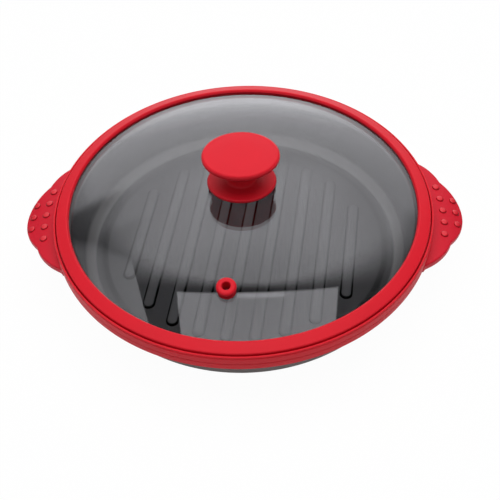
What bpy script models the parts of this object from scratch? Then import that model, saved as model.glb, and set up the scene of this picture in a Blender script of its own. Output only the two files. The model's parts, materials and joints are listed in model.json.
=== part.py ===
"""Microwave grill pan with a domed glass lid.

A ribbed aluminium pan stands on four silicone feet over a heating layer. A silicone collar
with two moulded handles grips the pan's lip, and the lid rests on the collar's ledge.
Metres, +Z up. The origin is the centre of the plane that the feet stand on, the handles lie
along X, and the lid lifts straight up along Z.
"""

import math

import bmesh
import bpy
from mathutils import Matrix, Vector

OBJECT_NAME = "microwave_grill_pan"
CUTTER_COLLECTION = "cutters"

# Fits
CLEARANCE = 0.0003
SEAT_GAP = 0.0008
SHOULDER_GAP = 0.0007

# Facets
RING_STEPS = 60
KNOB_STEPS = 32
SMALL_STEPS = 16
ARC_STEP = math.radians(30)
OUTLINE_STEP = math.radians(10)
RIB_END_STEP = math.radians(22.5)
MERGE_DISTANCE = 0.00001

# Feet and heating layer
FOOT_HEIGHT = 0.0040
FOOT_RADIUS = 0.0090
FOOT_TOP_RADIUS = 0.0097
FOOT_ROUND = 0.0008
FOOT_STEM_RADIUS = 0.0040
FOOT_STEM_LENGTH = 0.0020
FOOT_INSET = 0.0185
FOOT_COUNT = 4
LAYER_INSET = 0.0137
LAYER_THICKNESS = 0.0030
LAYER_ROUND = 0.0008

# Pan
PAN_DEPTH = 0.0331
PAN_LIP_RADIUS = 0.1196
LIP_WIDTH = 0.0017
FLARE_WIDTH = 0.0061
FLARE_HEIGHT = 0.0056
WALL_RUN = 0.0057
WALL_THICKNESS = 0.0024
FLOOR_THICKNESS = 0.0025
FLOOR_FILLET = 0.0100
FLARE_BEND = 0.0048
LIP_BEND = 0.0012
LIP_ROUND = 0.0005
CHANNEL_SLOPE_WIDTH = 0.0038
CHANNEL_DEPTH = 0.0009

# Ribs on the pan's floor
RIB_COUNT = 9
RIB_PITCH = 0.01775
RIB_WIDTH = 0.0083
RIB_HEIGHT = 0.0015
RIB_EDGE = 0.0006
RIB_ROOT = 0.0010
RIB_FIELD_INSET = 0.0117
RIB_TURN = math.radians(-7.3)

# Collar
LEDGE_THICKNESS = 0.0010
LEDGE_OVERLAP = 0.0014
COLLAR_LIP_OFFSET = 0.0014
COLLAR_LIP_HEIGHT = 0.0040
COLLAR_LIP_THICKNESS = 0.0011
COLLAR_BELLY = 0.0005
COLLAR_FACE_HEIGHT = 0.0061
COLLAR_BAND_STEP = 0.0004
COLLAR_SKIRT = 0.0062
COLLAR_ROUND = 0.0011
COLLAR_LIP_ROUND = 0.0005
COLLAR_LIP_INNER_ROUND = 0.0003

# Handles, one moulding with the collar
HANDLE_LENGTH = 0.0207
TIP_LOBE_RADIUS = 0.0389
SIDE_LOBE_RADIUS = 0.0366
SIDE_LOBE_INSET = 0.0250
SIDE_LOBE_SPREAD = 0.0149
HANDLE_ROOT_FILLET = 0.0060
HANDLE_ROOT_GAP = 0.0006
HANDLE_THICKNESS = 0.0048
HANDLE_EDGE = 0.0018
HANDLE_DROP = 0.0035
DROOP_INSET = 0.0046
DROOP_PER_METRE = 6.5
THINNING_PER_METRE = 2.0
DROOP_STRIPS = 5
STUD_RADIUS = 0.0025
STUD_HEIGHT = 0.0010
INNER_STUD_OFFSET = 0.0076
OUTER_STUD_OFFSET = 0.0163
INNER_STUD_COUNT = 5
OUTER_STUD_COUNT = 3
STUD_SPACING = 0.0107

# Stiffening lug of the pan inside each handle
LUG_THICKNESS = 0.0014
LUG_EDGE_MARGIN = 0.0080

# Lid rim
RIM_HEIGHT = 0.0072
RIM_EDGE_HEIGHT = 0.0047
RIM_WIDTH = 0.0083
RIM_RIDGE_INSET = 0.0069
RIM_SHOULDER_DROP = 0.0015
RIM_GRIP_DEPTH = 0.0018
RIM_UNDER_LIP = 0.0010
RIM_ROUND = 0.0008
RIM_CHAMFER = 0.0007
RIM_BASE_ROUND = 0.0004
RIM_BASE_STEP = 0.0005

# Glass
GLASS_THICKNESS = 0.0038
GLASS_EDGE_INSET = 0.0038
GLASS_DOME_RADIUS = 0.3980
GLASS_STEPS = 6
KNOB_HOLE_RADIUS = 0.0040
VENT_HOLE_RADIUS = 0.0042
VENT_INSET = 0.0362
VENT_TURN = math.radians(-95.7)

# Vent grommet
VENT_HEAD_RADIUS = 0.00605
VENT_HEAD_HEIGHT = 0.0036
VENT_HEAD_ROUND = 0.0017
VENT_MOUTH_ROUND = 0.0006
VENT_BASE_ROUND = 0.0008
VENT_FOOT_RADIUS = 0.0054
VENT_FOOT_HEIGHT = 0.0016
VENT_FOOT_ROUND = 0.0006
VENT_BORE_RADIUS = 0.00255

# Knob
CAP_RADIUS = 0.0242
CAP_MIDDLE_HEIGHT = 0.0225
CAP_EDGE_THICKNESS = 0.0040
CAP_CROWN = 0.0005
CAP_UNDERCUT = 0.0030
CAP_BEND_RADIUS = 0.0147
CAP_BEND_DROP = 0.0012
CAP_BEND_FILLET = 0.0044
WAIST_RADIUS = 0.0096
WAIST_SEAM_HEIGHT = 0.0095
SKIRT_RADIUS = 0.0219
SKIRT_MIDDLE_HEIGHT = 0.0017
SKIRT_EDGE_THICKNESS = 0.0026
SKIRT_FLARE = 0.0016
SKIRT_BEND_RADIUS = 0.0145
SKIRT_BEND_FILLET = 0.0037
EDGE_ROUNDING = 0.95
KNOB_OVAL = 0.87
OVAL_START_RADIUS = 0.0100
CORE_STEM_RADIUS = 0.0065
CORE_DISC_RADIUS = 0.0165
CORE_DISC_THICKNESS = 0.0022
INSERT_LENGTH = 0.0100
INSERT_WALL = 0.0010

# Screw and washers
SCREW_RADIUS = 0.0020
SCREW_HEAD_RADIUS = 0.0040
SCREW_HEAD_HEIGHT = 0.0024
SCREW_HEAD_ROUND = 0.0014
SCREW_REACH = 0.0090
SCREW_TIP_CHAMFER = 0.0006
SLOT_LENGTH = 0.0044
SLOT_WIDTH = 0.0009
SLOT_DEPTH = 0.0011
GASKET_THICKNESS = 0.0010
GASKET_RADIUS = 0.0095
LOWER_GASKET_RADIUS = 0.0080
WASHER_RADIUS = 0.0065
WASHER_THICKNESS = 0.0010

# Levels
LAYER_BOTTOM = FOOT_HEIGHT
LAYER_TOP = LAYER_BOTTOM + LAYER_THICKNESS
PAN_BOTTOM = LAYER_TOP + CLEARANCE
FLOOR_TOP = PAN_BOTTOM + FLOOR_THICKNESS
LIP_TOP = FLOOR_TOP + PAN_DEPTH
LEDGE_TOP = LIP_TOP + CLEARANCE + LEDGE_THICKNESS
SEAT_LEVEL = LEDGE_TOP + COLLAR_LIP_HEIGHT
RIM_BOTTOM = LEDGE_TOP + CLEARANCE
SHOULDER_BOTTOM = RIM_BOTTOM - RIM_SHOULDER_DROP
HANDLE_MIDDLE = LIP_TOP - HANDLE_DROP - HANDLE_THICKNESS / 2

# Radii that follow from the pan's lip
FLARE_TOP_RADIUS = PAN_LIP_RADIUS - LIP_WIDTH
WALL_TOP_RADIUS = FLARE_TOP_RADIUS - FLARE_WIDTH
FLOOR_EDGE_RADIUS = WALL_TOP_RADIUS - WALL_RUN
CHANNEL_FOOT_RADIUS = FLOOR_EDGE_RADIUS - FLOOR_FILLET
CHANNEL_RADIUS = CHANNEL_FOOT_RADIUS - CHANNEL_SLOPE_WIDTH
RIB_FIELD_RADIUS = CHANNEL_RADIUS - RIB_FIELD_INSET
LAYER_RADIUS = FLOOR_EDGE_RADIUS - LAYER_INSET
FOOT_CIRCLE_RADIUS = LAYER_RADIUS - FOOT_INSET
COLLAR_LIP_RADIUS = PAN_LIP_RADIUS + COLLAR_LIP_OFFSET
COLLAR_TOP_RADIUS = COLLAR_LIP_RADIUS + COLLAR_LIP_THICKNESS
COLLAR_RADIUS = COLLAR_TOP_RADIUS + COLLAR_BELLY
HANDLE_REACH = COLLAR_RADIUS + HANDLE_LENGTH
SIDE_LOBE_X = COLLAR_RADIUS - SIDE_LOBE_INSET
DROOP_START = COLLAR_RADIUS - DROOP_INSET
LEDGE_RADIUS = PAN_LIP_RADIUS - LEDGE_OVERLAP
RIM_RADIUS = COLLAR_LIP_RADIUS - SEAT_GAP
RIM_INNER_RADIUS = RIM_RADIUS - RIM_WIDTH
SHOULDER_RADIUS = LEDGE_RADIUS - SHOULDER_GAP
GLASS_RADIUS = RIM_RADIUS - GLASS_EDGE_INSET
VENT_CIRCLE_RADIUS = GLASS_RADIUS - VENT_INSET


def glass_sag(radius, sphere_radius):
    """How far a dome has fallen at a radius from its crown."""
    return sphere_radius - math.sqrt(sphere_radius ** 2 - radius ** 2)


GLASS_INNER_SPHERE = GLASS_DOME_RADIUS - GLASS_THICKNESS
GLASS_EDGE_BOTTOM = SHOULDER_BOTTOM + RIM_UNDER_LIP + CLEARANCE
CROWN = GLASS_EDGE_BOTTOM + glass_sag(GLASS_RADIUS, GLASS_INNER_SPHERE) + GLASS_THICKNESS


def glass_top(radius):
    """Height of the glass's upper face at a radius."""
    return CROWN - glass_sag(radius, GLASS_DOME_RADIUS)


def glass_bottom(radius):
    """Height of the glass's lower face at a radius."""
    return CROWN - GLASS_THICKNESS - glass_sag(radius, GLASS_INNER_SPHERE)


# Levels of the knob and its screw, counted from the lid's own origin
LID_CROWN = CROWN - SEAT_LEVEL
GASKET_TOP = LID_CROWN + CLEARANCE + GASKET_THICKNESS
KNOB_SEAT = GASKET_TOP + CLEARANCE
KNOB_SEAM = LID_CROWN + WAIST_SEAM_HEIGHT
CAP_MIDDLE = LID_CROWN + CAP_MIDDLE_HEIGHT
CORE_DISC_BOTTOM = CAP_MIDDLE - CORE_DISC_THICKNESS
LOWER_GASKET_TOP = LID_CROWN - GLASS_THICKNESS - CLEARANCE
WASHER_TOP = LOWER_GASKET_TOP - GASKET_THICKNESS - CLEARANCE
SCREW_HEAD_TOP = WASHER_TOP - WASHER_THICKNESS - CLEARANCE

# Radii of the knob's bores and sockets
STEM_BORE_RADIUS = CORE_STEM_RADIUS + CLEARANCE
SCREW_BORE_RADIUS = SCREW_RADIUS + CLEARANCE
INSERT_RADIUS = SCREW_BORE_RADIUS + INSERT_WALL
POCKET_RADIUS = GASKET_RADIUS + CLEARANCE


def clear_scene():
    """Remove every object, so that the script can be run again."""
    for thing in list(bpy.data.objects):
        bpy.data.objects.remove(thing, do_unlink=True)


def make_collection(name):
    """A collection linked to the scene."""
    group = bpy.data.collections.get(name)
    if group is None:
        group = bpy.data.collections.new(name)
        bpy.context.scene.collection.children.link(group)
    return group


def make_material(name, colour, roughness, metallic=0.0, alpha=1.0):
    """A Principled material for one sub-part."""
    material = bpy.data.materials.new(name)
    material.use_nodes = True
    shader = material.node_tree.nodes["Principled BSDF"]
    shader.inputs["Base Color"].default_value = (*colour, 1.0)
    shader.inputs["Roughness"].default_value = roughness
    shader.inputs["Metallic"].default_value = metallic
    shader.inputs["Alpha"].default_value = alpha
    material.diffuse_color = (*colour, alpha)
    return material


def add_part(name, mesh, finish, carrier):
    """Put a mesh into the object's collection as a named sub-part."""
    part = bpy.data.objects.new(name, mesh)
    make_collection(OBJECT_NAME).objects.link(part)
    part.parent = carrier
    part.matrix_parent_inverse = carrier.matrix_world.inverted()
    mesh.materials.append(finish)
    return part


def add_cutter(name, mesh):
    """Put a mesh into the collection of hidden tools that cut or fill the sub-parts."""
    cutter = bpy.data.objects.new(name, mesh)
    make_collection(CUTTER_COLLECTION).objects.link(cutter)
    cutter.hide_render = True
    cutter.display_type = "WIRE"
    return cutter


def combine(part, tool, operation):
    """Cut a part with a tool, or join the tool to it."""
    boolean = part.modifiers.new(tool.name, "BOOLEAN")
    boolean.operation = operation
    boolean.object = tool
    boolean.solver = "EXACT"


def arc_points(centre, start, end, arc_step=ARC_STEP):
    """Points along the shorter arc from start to end about a centre."""
    first = start - centre
    last = end - centre
    begin = math.atan2(first.y, first.x)
    turn = math.atan2(last.y, last.x) - begin
    turn = (turn + math.pi) % (2 * math.pi) - math.pi
    steps = max(1, round(abs(turn) / arc_step))
    radius = first.length
    angles = [begin + turn * step / steps for step in range(steps + 1)]
    return [centre + radius * Vector((math.cos(a), math.sin(a))) for a in angles]


def rounded(corners, closed):
    """Points of an outline whose corners (radius, height, fillet) are rounded by arcs."""
    points = []
    for index, (x, y, fillet) in enumerate(corners):
        here = Vector((x, y))
        is_end = not closed and index in (0, len(corners) - 1)
        if fillet == 0 or is_end:
            points.append(here)
            continue
        back = (Vector(corners[index - 1][:2]) - here).normalized()
        ahead = (Vector(corners[(index + 1) % len(corners)][:2]) - here).normalized()
        half_angle = back.angle(ahead) / 2
        reach = fillet / math.tan(half_angle)
        centre = here + (back + ahead).normalized() * fillet / math.sin(half_angle)
        points += arc_points(centre, here + back * reach, here + ahead * reach)
    return points


def line_meet(point_a, way_a, point_b, way_b):
    """Where two lines, each a point and a direction, cross."""
    along = (point_b - point_a).cross(way_b) / way_a.cross(way_b)
    return point_a + way_a * along


def offset_path(points, distances):
    """A path moved to its right-hand side, by one distance for each of its edges."""
    lines = []
    for start, end, distance in zip(points, points[1:], distances):
        way = (end - start).normalized()
        side = Vector((way.y, -way.x)) * distance
        lines.append((start + side, way, end + side))
    moved = [lines[0][0]]
    for (point_a, way_a, _), (point_b, way_b, _) in zip(lines, lines[1:]):
        moved.append(line_meet(point_a, way_a, point_b, way_b))
    moved.append(lines[-1][2])
    return moved


def path_above(points, height):
    """The stretch of a rising path above a height, from where it crosses that height."""
    stretch = [point for point in points if point.y > height]
    first = points.index(stretch[0])
    level = Vector((1.0, 0.0))
    way = points[first] - points[first - 1]
    return [line_meet(points[first], way, Vector((0.0, height)), level), *stretch]


def circle_meet(centre_a, radius_a, centre_b, radius_b):
    """The crossing of two circles that has the larger y."""
    between = centre_b - centre_a
    span = between.length
    along = (span ** 2 + radius_a ** 2 - radius_b ** 2) / (2 * span)
    height = math.sqrt(radius_a ** 2 - along ** 2)
    way = between / span
    across = Vector((-way.y, way.x)) * height
    middle = centre_a + way * along
    return max(middle + across, middle - across, key=lambda point: point.y)


def profile_mesh(name, points, closed):
    """A turned profile at +X, as points (radius, height) joined by edges."""
    mesh = bpy.data.meshes.new(name)
    vertices = [(point[0], 0.0, point[1]) for point in points]
    edges = [(index, index + 1) for index in range(len(points) - 1)]
    if closed:
        edges.append((len(points) - 1, 0))
    mesh.from_pydata(vertices, edges, [])
    return mesh


def turn_profile(part, steps):
    """Turn a profile about the part's Z axis."""
    screw = part.modifiers.new("Turn", "SCREW")
    screw.axis = "Z"
    screw.steps = steps
    screw.render_steps = steps
    screw.use_merge_vertices = True
    screw.merge_threshold = MERGE_DISTANCE
    screw.use_smooth_shade = True


def turned_part(name, corners, steps, finish, carrier, closed=True):
    """A turned sub-part from the corners of its section."""
    mesh = profile_mesh(name, rounded(corners, closed), closed)
    part = add_part(name, mesh, finish, carrier)
    turn_profile(part, steps)
    return part


def cylinder_cutter(name, radius, bottom, top, steps):
    """A hidden upright cylinder."""
    mesh = bpy.data.meshes.new(name)
    shape = bmesh.new()
    place = Matrix.Translation((0, 0, (bottom + top) / 2))
    bmesh.ops.create_cone(shape, cap_ends=True, segments=steps, radius1=radius, radius2=radius,
                          depth=top - bottom, matrix=place)
    shape.to_mesh(mesh)
    shape.free()
    return add_cutter(name, mesh)


def plate_shape(outline, thickness, edge, edge_segments=1):
    """A flat plate about z = 0 from its outline, with rounded upper and lower edges."""
    shape = bmesh.new()
    corners = [shape.verts.new((point.x, point.y, -thickness / 2)) for point in outline]
    face = shape.faces.new(corners)
    if face.normal.z > 0 or signed_area(outline) > 0:
        face.normal_flip()
    raised = bmesh.ops.extrude_face_region(shape, geom=[face])
    upper = [item for item in raised["geom"] if isinstance(item, bmesh.types.BMVert)]
    bmesh.ops.translate(shape, verts=upper, vec=(0, 0, thickness))
    bmesh.ops.recalc_face_normals(shape, faces=shape.faces)
    if edge > 0:
        rims = [item for item in shape.edges if abs(item.verts[0].co.z - item.verts[1].co.z) < edge / 2]
        bmesh.ops.bevel(shape, geom=rims, offset=edge, segments=edge_segments, profile=0.5, affect="EDGES",
                        clamp_overlap=True)
    return shape


def signed_area(outline):
    """Twice the area of an outline, positive when it runs anticlockwise."""
    return sum(a.x * b.y - b.x * a.y for a, b in zip(outline, outline[1:] + outline[:1]))


def pan_carrier():
    """The empty that carries the pieces which stay on the table."""
    carrier = bpy.data.objects.new("pan_carrier", None)
    make_collection(OBJECT_NAME).objects.link(carrier)
    return carrier


def lid_carrier():
    """The empty on the lift axis that carries the lid's pieces."""
    carrier = bpy.data.objects.new("lid_carrier", None)
    make_collection(OBJECT_NAME).objects.link(carrier)
    carrier.location = (0, 0, SEAT_LEVEL)
    bpy.context.view_layer.update()
    return carrier


def rib_outline(half_length):
    """A long slot outline along Y with round ends."""
    half_width = RIB_WIDTH / 2
    steps = round(math.pi / RIB_END_STEP)
    points = []
    for end in (1, -1):
        for step in range(steps + 1):
            angle = math.pi * step / steps
            points.append(Vector((end * half_width * math.cos(angle),
                                  end * (half_length + half_width * math.sin(angle)))))
    return points


def make_rib_tool():
    """The ribs that rise from the pan's floor, as one hidden mesh that is joined to it."""
    ribs = bmesh.new()
    height = RIB_HEIGHT + RIB_ROOT
    for index in range(RIB_COUNT):
        across = (index - (RIB_COUNT - 1) / 2) * RIB_PITCH
        half_length = math.sqrt(max(RIB_FIELD_RADIUS ** 2 - across ** 2, RIB_WIDTH ** 2))
        rib = plate_shape(rib_outline(half_length), height, RIB_EDGE)
        bmesh.ops.translate(rib, verts=rib.verts, vec=(across, 0, FLOOR_TOP + RIB_HEIGHT - height / 2))
        mesh = bpy.data.meshes.new("rib")
        rib.to_mesh(mesh)
        rib.free()
        ribs.from_mesh(mesh)
        bpy.data.meshes.remove(mesh)
    bmesh.ops.rotate(ribs, verts=ribs.verts, cent=(0, 0, 0), matrix=Matrix.Rotation(RIB_TURN, 3, "Z"))
    pattern = bpy.data.meshes.new("rib_pattern")
    ribs.to_mesh(pattern)
    ribs.free()
    return add_cutter("rib_pattern", pattern)


def pan_inner_path():
    """The pan's inner face from the axis to the lip's edge, before its fillets."""
    return [
        Vector((0.0, FLOOR_TOP)),
        Vector((FLOOR_EDGE_RADIUS, FLOOR_TOP)),
        Vector((WALL_TOP_RADIUS, LIP_TOP - FLARE_HEIGHT)),
        Vector((FLARE_TOP_RADIUS, LIP_TOP)),
        Vector((PAN_LIP_RADIUS, LIP_TOP)),
    ]


def pan_outer_path(extra):
    """The pan's outer face, from the axis to the lip's edge, moved out by an extra gap."""
    wall = WALL_THICKNESS + extra
    return offset_path(pan_inner_path(), [FLOOR_THICKNESS + extra, wall, wall, wall])


def make_pan(carrier, finish):
    """The ribbed aluminium pan with its flared lip and the lugs inside the handles."""
    inner = pan_inner_path()
    outer = pan_outer_path(0)
    foot = Vector((CHANNEL_FOOT_RADIUS, FLOOR_TOP - CHANNEL_DEPTH))
    wall_foot = line_meet(foot, Vector((1.0, 0.0)), inner[1], inner[2] - inner[1])
    corners = [
        (*inner[0], 0),
        (CHANNEL_RADIUS, FLOOR_TOP, 0),
        (*foot, 0),
        (*wall_foot, FLOOR_FILLET),
        (*inner[2], FLARE_BEND),
        (*inner[3], LIP_BEND),
        (*inner[4], LIP_ROUND),
        (*outer[4], LIP_ROUND),
        (*outer[3], 0),
        (*outer[2], WALL_THICKNESS),
        (*outer[1], FLOOR_FILLET + WALL_THICKNESS),
        (*outer[0], 0),
    ]
    pan = turned_part("pan_body", corners, RING_STEPS, finish, carrier, closed=False)
    combine(pan, make_rib_tool(), "UNION")
    root_radius = WALL_TOP_RADIUS + WALL_THICKNESS / 2
    for side, turn in (("left", math.pi), ("right", 0.0)):
        lug = make_lug_tool("lug_" + side, 0, turn)
        bore = cylinder_cutter("lug_bore_" + side, root_radius, LIP_TOP - PAN_DEPTH, SEAT_LEVEL, RING_STEPS)
        combine(lug, bore, "DIFFERENCE")
        combine(pan, lug, "UNION")
    return pan


def make_heating_layer(carrier, finish):
    """The bonded disc under the pan that turns microwaves into heat."""
    corners = [
        (0.0, LAYER_TOP, 0),
        (LAYER_RADIUS, LAYER_TOP, LAYER_ROUND),
        (LAYER_RADIUS, LAYER_BOTTOM, LAYER_ROUND),
        (0.0, LAYER_BOTTOM, 0),
    ]
    layer = turned_part("heating_layer", corners, RING_STEPS, finish, carrier, closed=False)
    for number, (x, y) in enumerate(foot_places(), start=1):
        pocket = cylinder_cutter("foot_pocket_%d" % number, FOOT_STEM_RADIUS + CLEARANCE,
                                 LAYER_BOTTOM - FOOT_STEM_LENGTH,
                                 LAYER_BOTTOM + FOOT_STEM_LENGTH + CLEARANCE, SMALL_STEPS)
        pocket.location = (x, y, 0)
        combine(layer, pocket, "DIFFERENCE")
    return layer


def foot_places():
    """Where the feet stand, spread evenly between the handles."""
    places = []
    for index in range(FOOT_COUNT):
        angle = 2 * math.pi * (index + 0.5) / FOOT_COUNT
        places.append((FOOT_CIRCLE_RADIUS * math.cos(angle), FOOT_CIRCLE_RADIUS * math.sin(angle)))
    return places


def make_feet(carrier, finish):
    """Silicone feet, each with a stem that plugs into the heating layer."""
    shoulder = FOOT_HEIGHT - CLEARANCE
    corners = [
        (0.0, FOOT_HEIGHT + FOOT_STEM_LENGTH, 0),
        (FOOT_STEM_RADIUS, FOOT_HEIGHT + FOOT_STEM_LENGTH, 0),
        (FOOT_STEM_RADIUS, shoulder, 0),
        (FOOT_TOP_RADIUS, shoulder, FOOT_ROUND),
        (FOOT_RADIUS, 0.0, FOOT_ROUND),
        (0.0, 0.0, 0),
    ]
    for number, (x, y) in enumerate(foot_places(), start=1):
        foot = turned_part("foot_%d" % number, corners, SMALL_STEPS, finish, carrier, closed=False)
        foot.location = (x, y, 0)


def handle_outline():
    """The three-lobed outline of the right-hand handle, closed inside the collar."""
    tip = Vector((HANDLE_REACH - TIP_LOBE_RADIUS, 0.0))
    side = Vector((SIDE_LOBE_X, SIDE_LOBE_SPREAD))
    axis = Vector((0.0, 0.0))
    notch = circle_meet(tip, TIP_LOBE_RADIUS, side, SIDE_LOBE_RADIUS)
    fillet = circle_meet(axis, COLLAR_RADIUS + HANDLE_ROOT_FILLET, side, SIDE_LOBE_RADIUS + HANDLE_ROOT_FILLET)
    lobe_end = side + (fillet - side).normalized() * SIDE_LOBE_RADIUS
    collar_end = fillet.normalized() * COLLAR_RADIUS
    inside = fillet.normalized() * WALL_TOP_RADIUS
    inner_arc = arc_points(axis, inside, Vector((inside.x, -inside.y)), OUTLINE_STEP)
    half = arc_points(tip, Vector((HANDLE_REACH, 0.0)), notch, OUTLINE_STEP)
    half += arc_points(side, notch, lobe_end, OUTLINE_STEP)[1:]
    half += arc_points(fillet, lobe_end, collar_end)[1:]
    mirrored = [Vector((point.x, -point.y)) for point in reversed(half[1:])]
    return half + inner_arc + mirrored


def slice_plate(shape, start, end, strips):
    """Cut a plate into strips across X, so that it can bend."""
    for index in range(1, strips):
        cut = start + (end - start) * index / strips
        everything = shape.verts[:] + shape.edges[:] + shape.faces[:]
        bmesh.ops.bisect_plane(shape, geom=everything, dist=MERGE_DISTANCE, plane_co=(cut, 0, 0),
                               plane_no=(1, 0, 0))


def droop(shape, thinning=0.0):
    """Bend a flat plate down, and thin it, past the start of the droop."""
    for vertex in shape.verts:
        past = max(vertex.co.x - DROOP_START, 0.0)
        thinner = 2 * thinning * past ** 2 / HANDLE_THICKNESS
        vertex.co.z = HANDLE_MIDDLE + vertex.co.z * (1 - thinner) - DROOP_PER_METRE * past ** 2


def ordered_mesh(name, shape):
    """A mesh whose points and faces stand in an order set by their places alone."""
    spots = sorted(shape.verts, key=lambda vertex: vertex.co[:])
    for index, vertex in enumerate(spots):
        vertex.index = index
    faces = []
    for face in shape.faces:
        around = [vertex.index for vertex in face.verts]
        first = around.index(min(around))
        faces.append(around[first:] + around[:first])
    mesh = bpy.data.meshes.new(name)
    mesh.from_pydata([vertex.co[:] for vertex in spots], [], sorted(faces))
    return mesh


def shape_tool(name, shape, turn):
    """Turn a finished shape about the pan's axis and keep it as a hidden tool."""
    bmesh.ops.rotate(shape, verts=shape.verts, cent=(0, 0, 0), matrix=Matrix.Rotation(turn, 3, "Z"))
    mesh = ordered_mesh(name, shape)
    shape.free()
    return add_cutter(name, mesh)


def make_lug_tool(name, gap, turn):
    """The stiffening lug inside a handle, grown by a gap for the pocket that holds it."""
    reach = TIP_LOBE_RADIUS - LUG_EDGE_MARGIN + gap
    centre = Vector((HANDLE_REACH - TIP_LOBE_RADIUS, 0.0))
    steps = round(2 * math.pi / OUTLINE_STEP)
    angles = [2 * math.pi * step / steps for step in range(steps)]
    outline = [centre + reach * Vector((math.cos(a), math.sin(a))) for a in angles]
    shape = plate_shape(outline, LUG_THICKNESS + 2 * gap, 0)
    slice_plate(shape, DROOP_START, HANDLE_REACH, DROOP_STRIPS)
    droop(shape)
    return shape_tool(name, shape, turn)


def make_envelope_tool(name):
    """The space of the pan and a gap round it, which the root of a handle is cut back from."""
    below_lip = pan_outer_path(HANDLE_ROOT_GAP)
    above_lip = [Vector((below_lip[-1].x, LIP_TOP)), Vector((0.0, LIP_TOP))]
    points = list(reversed(below_lip + above_lip))
    envelope = add_cutter(name, profile_mesh(name, points, False))
    turn_profile(envelope, RING_STEPS)
    return envelope


def make_handle_tool(name, turn):
    """One handle plate, open inside where the pan is."""
    shape = plate_shape(handle_outline(), HANDLE_THICKNESS, HANDLE_EDGE, 2)
    slice_plate(shape, DROOP_START, HANDLE_REACH, DROOP_STRIPS)
    droop(shape, THINNING_PER_METRE)
    plate = shape_tool(name, shape, turn)
    combine(plate, make_envelope_tool(name + "_root"), "DIFFERENCE")
    return plate


def stud_places():
    """Where the studs stand on the right-hand handle: two rows on arcs about the pan's axis."""
    places = []
    for offset, count in ((INNER_STUD_OFFSET, INNER_STUD_COUNT), (OUTER_STUD_OFFSET, OUTER_STUD_COUNT)):
        row = COLLAR_RADIUS + offset
        for index in range(count):
            angle = (index - (count - 1) / 2) * STUD_SPACING / row
            places.append((row * math.cos(angle), row * math.sin(angle)))
    return places


def make_stud_tool(name, turn):
    """The grip studs of one handle, as one hidden mesh that is joined to it."""
    studs = bmesh.new()
    for x, y in stud_places():
        place = Matrix.Translation((x, y, (HANDLE_THICKNESS - STUD_HEIGHT) / 2))
        squash = Matrix.Diagonal((STUD_RADIUS, STUD_RADIUS, STUD_HEIGHT * 1.5, 1.0))
        bmesh.ops.create_uvsphere(studs, u_segments=10, v_segments=6, radius=1.0, matrix=place @ squash)
    droop(studs, THINNING_PER_METRE)
    return shape_tool(name, studs, turn)


def make_collar(carrier, finish):
    """The silicone collar round the pan's lip, with both handles and their studs."""
    pan_side = pan_outer_path(CLEARANCE)
    lip_gap = PAN_LIP_RADIUS + CLEARANCE
    bottom = LIP_TOP - COLLAR_SKIRT
    face_bottom = SEAT_LEVEL - COLLAR_FACE_HEIGHT
    band_radius = COLLAR_RADIUS - COLLAR_BAND_STEP
    corners = [
        (COLLAR_LIP_RADIUS, SEAT_LEVEL, COLLAR_LIP_INNER_ROUND),
        (COLLAR_TOP_RADIUS, SEAT_LEVEL, COLLAR_LIP_ROUND),
        (COLLAR_RADIUS, face_bottom + COLLAR_BAND_STEP, 0),
        (band_radius, face_bottom, 0),
        (band_radius, bottom, COLLAR_ROUND),
        *[(point.x, point.y, 0) for point in path_above(pan_side[:-1], bottom)],
        (lip_gap, pan_side[-1].y, 0),
        (lip_gap, LIP_TOP + CLEARANCE, 0),
        (LEDGE_RADIUS, LIP_TOP + CLEARANCE, 0),
        (LEDGE_RADIUS, LEDGE_TOP, 0),
        (COLLAR_LIP_RADIUS, LEDGE_TOP, 0),
    ]
    collar = turned_part("silicone_collar", corners, RING_STEPS, finish, carrier)
    for side, turn in (("left", math.pi), ("right", 0.0)):
        combine(collar, make_handle_tool("handle_" + side, turn), "UNION")
        combine(collar, make_stud_tool("studs_" + side, turn), "UNION")
        combine(collar, make_lug_tool("lug_pocket_" + side, CLEARANCE, turn), "DIFFERENCE")
    return collar


def make_lid_rim(carrier, finish):
    """The silicone rim that grips the edge of the glass and rests on the collar's ledge."""
    base = RIM_BOTTOM - SEAT_LEVEL
    shoulder = SHOULDER_BOTTOM - SEAT_LEVEL
    groove_radius = GLASS_RADIUS + CLEARANCE
    under_radius = GLASS_RADIUS - RIM_GRIP_DEPTH
    groove_top = glass_top(groove_radius) - SEAT_LEVEL + CLEARANCE
    lip_foot = glass_top(RIM_INNER_RADIUS) - SEAT_LEVEL + CLEARANCE
    groove_bottom = glass_bottom(groove_radius) - SEAT_LEVEL - CLEARANCE
    under_lip_top = glass_bottom(under_radius) - SEAT_LEVEL - CLEARANCE
    ridge_radius = RIM_RADIUS - RIM_RIDGE_INSET
    corners = [
        (RIM_INNER_RADIUS, base + RIM_HEIGHT - RIM_CHAMFER, 0),
        (ridge_radius, base + RIM_HEIGHT, RIM_CHAMFER),
        (RIM_RADIUS, base + RIM_EDGE_HEIGHT, RIM_ROUND),
        (RIM_RADIUS, base, RIM_BASE_ROUND),
        (SHOULDER_RADIUS + RIM_BASE_STEP, base, 0),
        (SHOULDER_RADIUS, shoulder, 0),
        (under_radius, shoulder, 0),
        (under_radius, under_lip_top, 0),
        (groove_radius, groove_bottom, 0),
        (groove_radius, groove_top, 0),
        (RIM_INNER_RADIUS, lip_foot, 0),
    ]
    return lid_part("lid_rim", corners, RING_STEPS, finish, carrier)


def lid_part(name, corners, steps, finish, carrier, closed=True):
    """A turned piece of the lid, whose heights are counted from the lid's own origin."""
    part = turned_part(name, corners, steps, finish, carrier, closed)
    part.location = (0, 0, SEAT_LEVEL)
    return part


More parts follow.
